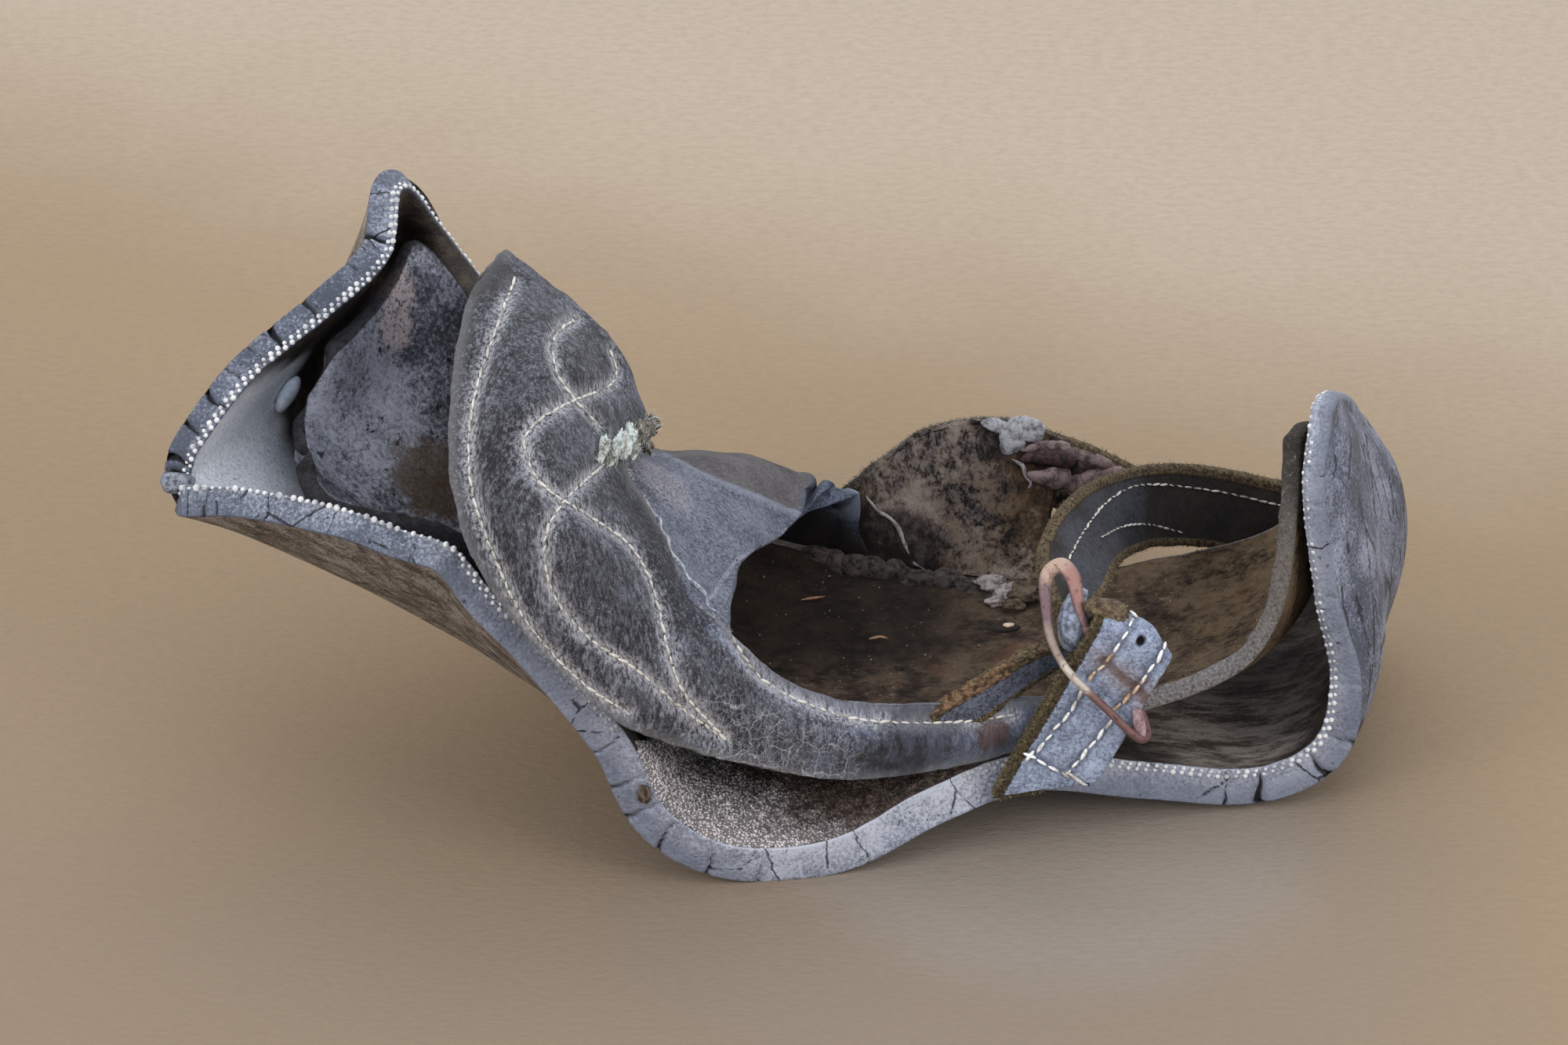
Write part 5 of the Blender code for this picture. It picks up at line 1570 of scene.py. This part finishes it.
def strand(name, surface, pixels, radius, material, slot, lift=0.0003, waver=0.0003, seed=1.0, flat=1.0):
    """A thread, tatter or straw laid on a surface along points of the photo."""
    line, facing = photo_path(surface, pixels, 3.0)
    shake = np.stack([roughness_at(line, 0.0022, seed + k * 5) for k in range(3)], axis=1) * waver
    ends = np.sin(math.pi * np.clip(even(len(line)), 0.02, 0.98)) ** 0.5
    size = radius * ends * (1 + 0.25 * roughness_at(line, 0.0012, seed))
    line = line + facing * (lift + radius * flat) + shake
    return attach(tube(name, line, size, STRAND_SIDES, material, flat=flat), slot)


tatter = speckled("pale_tatter", (0.13, 0.115, 0.11), (0.40, 0.36, 0.345), 0.0016, depth=0.0004)
strand("quarter_edge_thread", quarter_surface, QUARTER_TEAR, 0.00035, tatter, "upper_leather",
       lift=0.0008, waver=0.0007, seed=2.0)
# A pale frayed thread shows where the leaf's edge is torn over the lining
frayed = speckled("frayed_thread", (0.22, 0.23, 0.26), (0.62, 0.64, 0.68), 0.0012, 0.36, 0.58, 0.0006)
FRAYED = [(804, 636), (816, 652), (829, 668), (838, 690), (850, 712), (862, 730), (874, 748),
          (892, 770), (908, 790)]
strand("frayed_edge", inner_surface, FRAYED, 0.00042, frayed, "upper_leather",
       lift=0.0012, waver=0.0007, seed=6.0, flat=0.6)
quarter_top = quarter.points[np.array(quarter.border)][:, 2] > 0.020
quarter_fibres = speckled("quarter_fibres", (0.06, 0.05, 0.038), (0.26, 0.235, 0.20), 0.002)
fuzz("quarter_edge_fibres", quarter, LEATHER_THICKNESS, 0, quarter_top, "upper_leather", quarter_fibres,
     0.0008, 1.6e7, 6)


# The rear strap is sewn to the quarter, turns behind the heel and comes forward to the buckle.
# A narrow keeper strap leaves the band. Both are blue-grey on the grain and brown at the cut.
STRAP_WIDTH = 0.0125
STRAP_SECTIONS = [
    ((19, 47.2, 20.5), 0, 0.8),
    ((24, 47.2, 15.5), 0, 0.95),
    ((28.8, 46.4, 11.8), 0, 0.85),
    ((34, 44.8, 11), 0, 0.85),
    ((39, 43, 10.8), 0, 0.9),
    ((42.4, 39.5, 12.5), 0, 1),
    ((39.5, 36, 14.5), 0, 1),
    ((34.4, 32, 19), 5, 1),
    ((30, 26, 22.8), 12, 1),
    ((26.2, 14, 27.2), 28, 1),
    ((24, 0, 31), 45, 1),
    ((22.8, -12, 32), 58, 0.95),
    ((22.6, -19, 32), 60, 0.7),
    ((23.2, -28, 30.5), 50, 0.4),
]
KEEPER_SECTIONS = [
    ((12, -34, 17), 0, 0.5),
    ((15.5, -31.5, 20.5), 0, 0.5),
    ((19, -28.5, 24.2), 10, 0.5),
    ((22, -25, 25.5), 20, 0.45),
    ((25, -22, 25), 20, 0.4),
]
STRAP_LIT = (0.062, 0.065, 0.079)
STRAP_DARK = (0.018, 0.016, 0.016)
STRAP_BROWN = (0.044, 0.035, 0.028)
CUT_BROWN = (0.235, 0.165, 0.085)
CUT_DARK = (0.026, 0.018, 0.012)
KEEPER_LIT = (0.17, 0.19, 0.255)
KEEPER_GREY = (0.07, 0.075, 0.10)
# Painted light: where the strap's grain is painted paler, a pixel and a reach each
STRAP_LIGHTS = [((1385, 705), 0.0085), ((1402, 668), 0.0080), ((1432, 645), 0.0070), ((1378, 745), 0.0070)]
STRAP_STITCHES = [
    [(1359, 717), (1375, 684), (1400, 647), (1433, 623), (1465, 617), (1522, 620), (1571, 627), (1629, 640)],
    [(1398, 690), (1424, 674), (1457, 669), (1498, 676)],
]


def strap_sheet(sections, across, along):
    """A strap from its middle line, how far its upper edge leans in degrees, and its width."""
    middles = np.array([place(*middle) for middle, _, _ in sections])
    rows = []
    for i, (_, lean, width) in enumerate(sections):
        path = middles[min(i + 1, len(middles) - 1)] - middles[max(i - 1, 0)]
        side = unit(np.cross(path, (0, 0, 1)))
        rise = unit(np.cross(side, path))
        angle = math.radians(lean)
        edge = (rise * math.cos(angle) + side * math.sin(angle)) * STRAP_WIDTH / 2 * width
        rows.append([middles[i] + edge * share for share in (1, 1 / 3, -1 / 3, -1)])
    return Sheet(resample(rows, even(across), even(along)))


def strap_finish(name, lit, dark, middle, cut, cut_dark, lit_spots=(), lit_all_over=0.0):
    """A grain face painted paler in dusty-looking specks where light falls on it, as painted light, with a
    fuzzy cut edge.
    """
    made = Finish(name, roughness=0.85, specular=0.25)
    speck = made.grain(0.0006, 5, 0.8)
    blotch = made.grain(0.006, 5, 0.7)
    face = made.blend(made.step(speck * 0.6 + blotch * 0.6, 0.46, 0.76), dark, middle)
    lit_specks = made.step(speck * 0.9 + blotch * 0.35, 0.42, 0.78)
    lit_share = lit_all_over
    for spot, reach in lit_spots:
        lit_share = made.near(spot, reach, 0.2) + lit_share
    face = made.blend((lit_specks * lit_share).math("MINIMUM", 1), face, lit)
    fuzz_speck = made.grain(0.0006, 5, 0.85)
    sides = made.blend(made.step(fuzz_speck, 0.38, 0.62), cut_dark, cut)
    wear = made.step(made.attribute("edge") + (fuzz_speck - 0.5) * 0.0012, 0.0016, 0.0007) * 0.6
    edge_mix = made.step(made.attribute("rim") + wear, 0.2, 0.6)
    color = made.blend(edge_mix, face, sides)
    made.finish(color, relief=speck * 0.7 + blotch * 0.5 + fuzz_speck * edge_mix * 1.5, depth=0.0005)
    return made.material


rear_strap = strap_sheet(STRAP_SECTIONS, 26, 400)
rear_surface = rear_strap.bvh()
lit_spots = [(on_surface(rear_surface, *pixel)[0], reach) for pixel, reach in STRAP_LIGHTS]
strap_leather = strap_finish("strap_grain", STRAP_LIT, STRAP_DARK, STRAP_BROWN, CUT_BROWN, CUT_DARK,
                             lit_spots)
strap_front = rear_strap.bumps(0.00025, 0.006, 3.0)
rear_piece = shell("rear_strap", rear_strap, LEATHER_THICKNESS, strap_leather, offset=0, steps=8,
                   swell=0.0007, square=0.8, front=strap_front, ragged=0.0003)
attach(rear_piece, "upper_leather")
stitched("strap_stitches", rear_surface, STRAP_STITCHES, "upper_leather", 12,
         lift=LEATHER_THICKNESS / 2 + 0.0001, Width=0.00042, Height=0.0004, Unevenness=0.45)
cut_fibres = speckled("cut_fibres", (0.055, 0.038, 0.022), (0.24, 0.185, 0.105), 0.0012)
whole_rim = np.ones(len(rear_strap.border), bool)
fuzz("strap_fibres", rear_strap, LEATHER_THICKNESS, 0, whole_rim, "upper_leather", cut_fibres,
     0.0008, 0.8e7, 8)
keeper = strap_sheet(KEEPER_SECTIONS, 16, 80)
keeper_surface = keeper.bvh()
# The keeper's face takes its paler lit colour nearly all over: painted light
keeper_leather = strap_finish("keeper_grain", KEEPER_LIT, STRAP_DARK, KEEPER_GREY, CUT_BROWN, CUT_DARK,
                              lit_all_over=0.85)
keeper_front = keeper.bumps(0.0003, 0.004, 2.0)
attach(shell("keeper_strap", keeper, LEATHER_THICKNESS, keeper_leather, offset=0, steps=8, swell=0.0004,
             square=0.8, front=keeper_front), "upper_leather")

# The quarter's top is torn: a roll of it hangs inside, with pale grain and a thread
joined_points = np.concatenate((quarter.points, rear_strap.points))
joined_faces = quarter.quads.tolist() + (rear_strap.quads + len(quarter.points)).tolist()
back_surface = BVHTree.FromPolygons(joined_points.tolist(), joined_faces)
flap_purple = speckled("torn_flap", (0.055, 0.034, 0.032), (0.24, 0.165, 0.155), 0.0020, 0.36, 0.62, 0.0006)
flap_hollow_shade = speckled("flap_hollow_shade", (0.018, 0.010, 0.010), (0.085, 0.045, 0.040), 0.0018, 0.4, 0.62, 0.0006)
flap_white = speckled("flap_grain", (0.12, 0.11, 0.115), (0.42, 0.41, 0.43), 0.0015, 0.36, 0.60, 0.0005)
strand("torn_flap_roll", back_surface, FLAP_UNDER, 0.0021, flap_purple, "upper_leather", 0.0002, 0.0006, 4.0)
# The dark strand in the hollow of the torn roll is painted shade
strand("torn_flap_hollow_shade", back_surface, FLAP_LINE, 0.0016, flap_hollow_shade, "upper_leather", 0.0001, 0.0006, 6.0)
strand("torn_flap_lip", back_surface, FLAP_LIP, 0.0012, flap_purple, "upper_leather", 0.0004, 0.0005, 8.0)
FLAP_SCRAPS = [
    ((1292, 556), (0.0048, 0.0062, 0.0016), flap_white),
    ((1312, 546), (0.0058, 0.0042, 0.0014), flap_white),
    ((1272, 543), (0.0050, 0.0024, 0.0012), flap_white),
]
torn_bits("flap_scrap", back_surface, FLAP_SCRAPS, "upper_leather", 0.0012, (0.9, 0, -0.3), 0.3, 1, 1.9, 28)
strand("flap_hanging_thread", back_surface, FLAP_THREAD, 0.00038, tatter, "upper_leather",
       0.0016, 0.0004, 3.0)

# A torn layer of orange-brown lining curls up beside the keeper
torn_orange = speckled("torn_lining", (0.050, 0.028, 0.015), (0.30, 0.185, 0.100), 0.0012, 0.38, 0.62, 0.0010)
TORN_SCRAPS = [
    ((1194, 868), (0.0050, 0.0016, 0.0008), torn_orange),
    ((1216, 860), (0.0066, 0.0028, 0.0009), torn_orange),
    ((1240, 854), (0.0060, 0.0034, 0.0010), torn_orange),
    ((1264, 848), (0.0054, 0.0028, 0.0010), torn_orange),
    ((1230, 866), (0.0064, 0.0018, 0.0008), torn_orange),
]
torn_bits("torn_lining", keeper_surface, TORN_SCRAPS, "upper_leather", 0.0010, (0.92, 0, 0.28), 0.65, 2, 3.1)


# The buckle tab is a strap doubled over the buckle's wire, sewn to itself in white, with its
# cut edges brown and fibrous.
TAB_WIDTH = 0.0130
TAB_THICKNESS = 0.0020
TAB_LENGTH = 0.0270
TAB_LAYER_GAP = 0.0001
TAB_FOOT_SLANT = 0.0055
TAB_FOOT_CUT = 0.0050
TAB_FOOT = (20.8, -34.6, 7.4)
WIRE_RADIUS = 0.0008
WIRE_GAP = 0.0005
TAB_BLUE = (0.43, 0.490, 0.640)
TAB_DARK = (0.085, 0.098, 0.135)
TAB_PALE = (0.50, 0.53, 0.60)
TAB_STAINED = (0.065, 0.040, 0.040)
TAB_RUSTY = (0.26, 0.135, 0.060)
TAB_HOLE_SHADE = (0.010, 0.009, 0.010)
TAB_CUT_DARK = (0.030, 0.022, 0.012)
TAB_CUT_BROWN = (0.130, 0.095, 0.048)
TAB_STITCH = {"Pitch": 0.0021, "Length": 0.0023, "Width": 0.00062, "Height": 0.0006}
TAB_SIDES = (-0.5, -0.17, 0.17, 0.5)
TAB_TOP_BULGE = (0.0012, 0.0022, 0.0019, -0.0010)
TAB_ROWS = 200
TAB_COLUMNS = 42
TAB_SEAMS = [
    [(1433, 771), (1443, 786), (1437, 804), (1425, 822), (1411, 841), (1392, 859)],
    [(1474, 808), (1479, 822), (1472, 843), (1460, 863), (1448, 878), (1425, 898)],
    [(1378, 882), (1364, 906), (1341, 931), (1335, 943), (1314, 960)],
    [(1314, 960), (1340, 974), (1360, 984)],
    [(1415, 920), (1397, 941), (1378, 963), (1362, 982)],
]
TAB_TAIL = [(1360, 980), (1374, 988), (1388, 998)]
TAB_HOLE = (1454, 817)
TAB_LOBE = (1411, 782)
TAB_HOLE_RADIUS = 0.00065
TAB_STAIN = [(1408, 840), (1436, 864), (1466, 892)]

rise = unit(np.array((0.456, 0.10, 0.88)))
across_tab = np.array((0.86, -0.10, -0.50))
across_tab = unit(across_tab - rise * across_tab.dot(rise))
front_tab = np.cross(across_tab, rise)
tab_turn = WIRE_RADIUS + WIRE_GAP + TAB_THICKNESS / 2
tab_foot = place(*TAB_FOOT)
tab_top = tab_foot + rise * TAB_LENGTH
tab_path = [tab_foot + rise * TAB_LENGTH * share for share in (0, 0.35, 0.7)]
for step in range(9):
    angle = math.pi * step / 8
    tab_path.append(tab_top + (front_tab * (1 - math.cos(angle)) + rise * math.sin(angle)) * tab_turn)
back_again = tab_top + front_tab * 2 * tab_turn
front_foot = tab_foot + front_tab * (TAB_THICKNESS + TAB_LAYER_GAP)
tab_path += [back_again + (front_foot - back_again) * share for share in (0.3, 0.65, 1)]
tab_rows = [[point + across_tab * TAB_WIDTH * side for side in TAB_SIDES] for point in tab_path]
for row in tab_rows:
    for j, side in enumerate(TAB_SIDES):
        height = min(max((row[j] - tab_foot).dot(rise) / TAB_LENGTH, 0.0), 1.0)
        foot_cut = TAB_FOOT_CUT * (side + 0.5) - TAB_FOOT_SLANT * (0.5 - side)
        row[j] = row[j] + rise * (TAB_TOP_BULGE[j] * height + foot_cut * (1 - height) ** 2)
tab = Sheet(resample(tab_rows, even(TAB_COLUMNS), even(TAB_ROWS)))
tab.move(tab.bumps(0.0004, 0.007, 8.0))
tab_surface = tab.bvh()
tab_seam_lines = [photo_path(tab_surface, pixels)[0] for pixels in TAB_SEAMS]
tab_seam_away = distance_to(tab.points, tab_seam_lines)
hole_spot, _ = on_surface(tab_surface, *TAB_HOLE)
hole_away = np.linalg.norm(tab.points - np.array(hole_spot), axis=1)
stain_away = distance_to(tab.points, [photo_path(tab_surface, TAB_STAIN)[0]])
dent = -0.0004 * hump(tab_seam_away, 0.0010) - 0.0014 * hump(hole_away, TAB_HOLE_RADIUS, 4)
dent -= 0.0003 * hump(stain_away, 0.0008)
dent += tab.bumps(0.0002, 0.003, 5.0)
on_front = tab.row > 0.5
tab_finish = Finish("tab_face", roughness=0.85, specular=0.25)
tab_speck = tab_finish.grain(0.0006, 5, 0.8)
tab_blotch = tab_finish.grain(0.005, 5, 0.7)
tab_mix = tab_finish.step(tab_speck * 0.8 + tab_blotch * 0.5, 0.44, 0.86)
tab_finish.color = tab_finish.blend(tab_mix, TAB_DARK, TAB_BLUE)
tab_flecks = tab_finish.step(tab_finish.grain(0.0004, 3, 0.8), 0.60, 0.70)
tab_finish.coat(tab_flecks * 0.4, TAB_PALE)
groove = tab_finish.step(tab_finish.attribute("seam"), 0.0016, 0.0003)
tab_finish.coat(groove * 0.45, TAB_DARK)
stain_band = tab_finish.step(tab_finish.attribute("stain") + (tab_speck - 0.5) * 0.0010, 0.0014, 0.0003)
tab_finish.coat(stain_band * 0.75, TAB_STAINED)
rust_near = tab_finish.step(tab_finish.attribute("stain") + (tab_blotch - 0.5) * 0.004, 0.0042, 0.0008)
tab_finish.coat(rust_near * 0.30, TAB_RUSTY)
# The hole is painted near black: painted shade inside it
hole_shade = tab_finish.step(tab_finish.attribute("hole"), 0.0009, 0.00055)
tab_finish.coat(hole_shade, TAB_HOLE_SHADE)
tab_cut_speck = tab_finish.grain(0.0006, 5, 0.85)
tab_cut = tab_finish.blend(tab_finish.step(tab_cut_speck, 0.38, 0.62), TAB_CUT_DARK, TAB_CUT_BROWN)
tab_wear = tab_finish.attribute("edge") + (tab_cut_speck - 0.5) * 0.0010
tab_wear = tab_finish.step(tab_wear, 0.0008, 0.0) * 0.45
left_margin = tab_finish.step(tab_finish.attribute("left") + (tab_cut_speck - 0.5) * 0.08, 0.105, 0.060)
left_half = tab_finish.step(tab_finish.attribute("left"), 0.6, 0.4)
tab_edge = tab_finish.step(tab_finish.attribute("rim") + tab_wear + left_margin * 0.6, 0.2, 0.6) * left_half
tab_finish.coat(tab_edge, tab_cut)
tab_finish.finish(relief=tab_speck * 0.8 + tab_blotch * 0.6 + tab_cut_speck * tab_edge * 1.5, depth=0.0005)
tab_extra = {"seam": tab_seam_away, "stain": np.where(on_front, stain_away, 1.0),
             "hole": np.where(on_front, hole_away, 1.0), "left": tab.column}
tab_piece = shell("doubled_tab", tab, TAB_THICKNESS, tab_finish.material, offset=0, steps=8, swell=0.0004,
                  square=0.6, front=dent, extra=tab_extra, ragged=0.0002)
attach(tab_piece, "tab_leather", "buckle_tab")
white_thread = speckled("white_thread", (0.40, 0.36, 0.30), (0.88, 0.87, 0.84), 0.0035, 0.36, 0.54, 0.0001)
rusty_thread = speckled("rusty_thread", (0.30, 0.16, 0.07), (0.74, 0.58, 0.42), 0.003, 0.36, 0.60, 0.0001)
clean_rows = [TAB_SEAMS[0][:4], TAB_SEAMS[1][:4], *TAB_SEAMS[2:]]
stitched("tab_stitches", tab_surface, clean_rows, "tab_leather", 15, white_thread,
         TAB_THICKNESS / 2 + 0.0001, **TAB_STITCH)
stained_rows = [TAB_SEAMS[0][3:], TAB_SEAMS[1][3:]]
stitched("tab_stained_stitches", tab_surface, stained_rows, "tab_leather", 16, rusty_thread,
         TAB_THICKNESS / 2 + 0.0001, **TAB_STITCH)
strand("tab_thread_tail", tab_surface, TAB_TAIL, 0.00028, white_thread, "tab_leather",
       TAB_THICKNESS / 2, 0.0002)
tab_fibres = speckled("tab_fibres", (0.060, 0.045, 0.024), (0.27, 0.21, 0.11), 0.0012)
left_side = tab.column[tab.border] < 0.5
fuzz("tab_edge_fibres", tab, TAB_THICKNESS, 0, left_side, "tab_leather", tab_fibres, 0.0008, 2.2e7, 9)
lobe_spot, lobe_facing = on_surface(tab_surface, *TAB_LOBE)
fold_brown = speckled("fold_brown", (0.045, 0.030, 0.018), (0.19, 0.135, 0.075), 0.0010, depth=0.0006)
lobe = lump("tab_fold_edge", lobe_spot + lobe_facing * 0.0004, lobe_facing, (0.7, 0, 0.7),
            (0.0072, 0.0046, 0.0034), fold_brown, bumps=0.25, seed=5.0, square=0.9, sides=40)
attach(lobe, "tab_leather")


# The buckle is one loop of bent wire, rusted to a copper pink, flattened where it turns.
BUCKLE_PATH = [
    (-0.68, 0.08, 0.54),
    (-0.85, 0.63, 0.53),
    (-0.83, 0.74, 0.35),
    (-0.66, 0.56, 0.18),
    (-0.36, 0.16, 0.18),
    (-0.13, -0.25, 0.18),
    (-0.02, -0.52, 0.17),
    (0.18, -0.74, 0.06),
    (0.40, -0.94, -0.12),
    (0.44, -1.12, -0.22),
    (0.26, -1.22, -0.18),
    (-0.03, -1.08, 0),
    (-0.30, -0.86, 0.28),
    (-0.48, -0.52, 0.52),
]
WIRE_SIDES = 14
WIRE_ROWS = 220

wire_points = [
    tab_top + (rise * up + across_tab * side + front_tab * out) * TAB_WIDTH for up, side, out in BUCKLE_PATH
]
wire_line = smooth_line(wire_points + [wire_points[0]], even(WIRE_ROWS + 1))[:-1]

WIRE_APEX = (1360, 724)
WIRE_WIDE = 0.00125
WIRE_THIN = 0.00066
WIRE_FLAT = 0.62
HOOK_AT = (1462, 950)
WIRE_DARK = (0.15, 0.085, 0.085)
WIRE_PINK = (0.30, 0.205, 0.195)
WIRE_PITTED = (0.07, 0.035, 0.03)
WIRE_COLORS = [
    ((1350, 732), 0.004, (0.50, 0.36, 0.27)), ((1388, 750), 0.005, (0.34, 0.17, 0.14)),
    ((1341, 780), 0.006, (0.17, 0.11, 0.12)), ((1350, 825), 0.005, (0.32, 0.25, 0.20)),
    ((1376, 862), 0.004, (0.62, 0.55, 0.46)), ((1445, 935), 0.011, (0.15, 0.070, 0.062)),
]

wire_seen = to_photo(wire_line)


def on_wire(u, v):
    """The middle of the wire where it passes a point of the photo."""
    return wire_line[seen_nearest(wire_seen, u, v)]


apex_away = np.linalg.norm(wire_line - on_wire(*WIRE_APEX), axis=1)
wide = hump(apex_away, 0.0075)
# Two chords across the loop give the way it faces
loop_normal = unit(np.cross(wire_line[20] - wire_line[110], wire_line[60] - wire_line[160]))
rust = Finish("rusted_wire", roughness=0.5, metallic=0.45, specular=0.5)
rust_patches = rust.grain(0.0028, 5, 0.7)
rust.color = rust.blend(rust.step(rust_patches, 0.38, 0.62), WIRE_DARK, WIRE_PINK)
for pixel, reach, tint in WIRE_COLORS:
    rust.coat(rust.near(on_wire(*pixel), reach, 0.35) * 0.8, tint)
pitted = rust.step(rust.grain(0.0009, 4, 0.75), 0.42, 0.32)
rust.coat(pitted * 0.6, WIRE_PITTED)
rust.finish(roughness=0.32 + rust_patches * 0.4, depth=0.00022,
            relief=rust.grain(0.0008, 4, 0.7) - pitted * 0.5)
wire_radius = WIRE_THIN + (WIRE_WIDE - WIRE_THIN) * wide
wire_piece = tube("buckle_loop", wire_line, wire_radius, WIRE_SIDES, rust.material,
                  closed=True, flat=1 - (1 - WIRE_FLAT) * wide, flat_along=loop_normal)
attach(wire_piece, "buckle_wire", "buckle_frame")
hook_spot = on_wire(*HOOK_AT)
hook_rust = speckled("hook_rust", (0.20, 0.11, 0.115), (0.42, 0.29, 0.30), 0.0014, roughness=0.5)
hook = lump("buckle_hook", hook_spot + np.array((-0.0008, 0.0002, 0.0026)), (0.1, -1, 0.2), (-0.12, 0, 1),
            (0.0056, 0.0020, 0.0009), hook_rust, bumps=0.15, seed=3.0, square=0.8)
attach(hook, "buckle_wire")

# The tip of the rear strap hangs through the loop
STRAP_TIP_AT = (1369, 794)
STRAP_CURL_AT = (1374, 760)
tip_leather = speckled("strap_tip", (0.085, 0.098, 0.130), (0.36, 0.40, 0.49), 0.0016, 0.36, 0.62, 0.0005)
tip_spot, _ = on_surface(rear_surface, *STRAP_TIP_AT)
TO_CAMERA = np.array(-forward)
tip = lump("strap_tip", np.array(tip_spot) + TO_CAMERA * 0.0042, TO_CAMERA, (0.10, 0, 1),
           (0.0092, 0.0050, 0.0096), tip_leather, bumps=0.08, seed=6.0, square=0.9)
attach(tip, "upper_leather")
curl_spot, _ = on_surface(rear_surface, *STRAP_CURL_AT)
curl = lump("strap_tip_curl", np.array(curl_spot) + TO_CAMERA * 0.0044, TO_CAMERA, (0.8, 0, 0.5),
            (0.0036, 0.0026, 0.0094), tip_leather, bumps=0.2, seed=7.0)
attach(curl, "upper_leather")


# Crumpled lining lies along the far edge of the footbed, with flakes torn from the quarter
crumpled = speckled("crumpled_lining", (0.010, 0.008, 0.007), (0.110, 0.086, 0.074), 0.0016,
                    0.36, 0.64, 0.0012)
FAR_ROLLS = [
    ([(1018, 702), (1055, 714), (1100, 724), (1150, 735), (1190, 742)], 0.0028),
    ([(1110, 722), (1150, 732), (1200, 744), (1250, 748), (1310, 750)], 0.0023),
]
for number, (pixels, radius) in enumerate(FAR_ROLLS):
    strand(f"far_roll_{number + 1}", footbed_surface, pixels, radius, crumpled, "insole_leather",
           lift=-0.0024, waver=0.0016, seed=number * 4 + 3.0, flat=0.7)
flake_pink = speckled("torn_flake_pink", (0.10, 0.078, 0.068), (0.42, 0.35, 0.33), 0.0020, 0.38, 0.58, 0.0010)
flake_brown = speckled("torn_flake_brown", (0.040, 0.027, 0.018), (0.16, 0.115, 0.075), 0.0018,
                       0.38, 0.60, 0.0010)
FLAKES = [
    ((1266, 748), (0.0050, 0.0042, 0.0016), flake_pink),
    ((1284, 760), (0.0046, 0.0040, 0.0018), flake_pink),
    ((1274, 770), (0.0036, 0.0026, 0.0014), flake_pink),
    ((1306, 764), (0.0050, 0.0046, 0.0026), flake_brown),
    ((1294, 776), (0.0040, 0.0030, 0.0018), flake_brown),
]
torn_bits("torn_flake", footbed_surface, FLAKES, "insole_leather", None, (0.9, 0, 0.3), 0.5, 1, 1.9, 36)

# Loose bits lie on the footbed: pale crumbs, straws and a bright speck.
STRAWS = [[(1021, 769), (1036, 767), (1051, 765)], [(1108, 820), (1122, 817), (1133, 819)]]
DEBRIS_PER_M2 = 1.1e5
SLIT_AT = (1282, 802)
straw_finish = speckled("straw", (0.30, 0.15, 0.08), (0.56, 0.36, 0.22), 0.002)
for number, pixels in enumerate(STRAWS):
    strand(f"straw_{number + 1}", footbed_surface, pixels, 0.00022, straw_finish, "insole_leather",
           lift=0.0005, waver=0.0001, seed=number + 2.0)
slit_spot, slit_facing = on_surface(footbed_surface, *SLIT_AT)
# A near-black lump stands for the shade inside a slit in the footbed: painted shade
slit_shade = speckled("slit_shade", (0.006, 0.005, 0.004), (0.02, 0.014, 0.01), 0.001)
slit = lump("footbed_slit", slit_spot, slit_facing, (1, 0, 0.1), (0.0050, 0.0024, 0.0012), slit_shade,
            bumps=0.2, seed=2.0)
attach(slit, "insole_leather")
spark_tan = speckled("spark_tan", (0.55, 0.38, 0.25), (0.85, 0.68, 0.50), 0.001)
spark_spot = slit_spot + slit_facing * 0.0007 + Vector((0.0006, 0, 0))
spark = lump("footbed_spark", spark_spot, slit_facing, (1, 0, 0), (0.0018, 0.0009, 0.0006), spark_tan,
             bumps=0.3, seed=4.0)
attach(spark, "insole_leather")
quad_rows = footbed.row[footbed.quads[:, 0]]
back_quads = footbed.quads[(quad_rows > 0.42) & (quad_rows < 0.97)]
debris = scattered("footbed_debris", footbed.points + footbed.normals * 0.0003, back_quads.tolist(), {
    "Density": DEBRIS_PER_M2, "Size": (0.00050, 0.0004, 0.0003), "Least": 0.15, "Tilt": 1.4, "Seed": 21,
    "Finish": speckled("debris", (0.06, 0.036, 0.024), (0.36, 0.27, 0.21), 0.004, 0.42, 0.62),
})
attach(debris, "insole_leather")
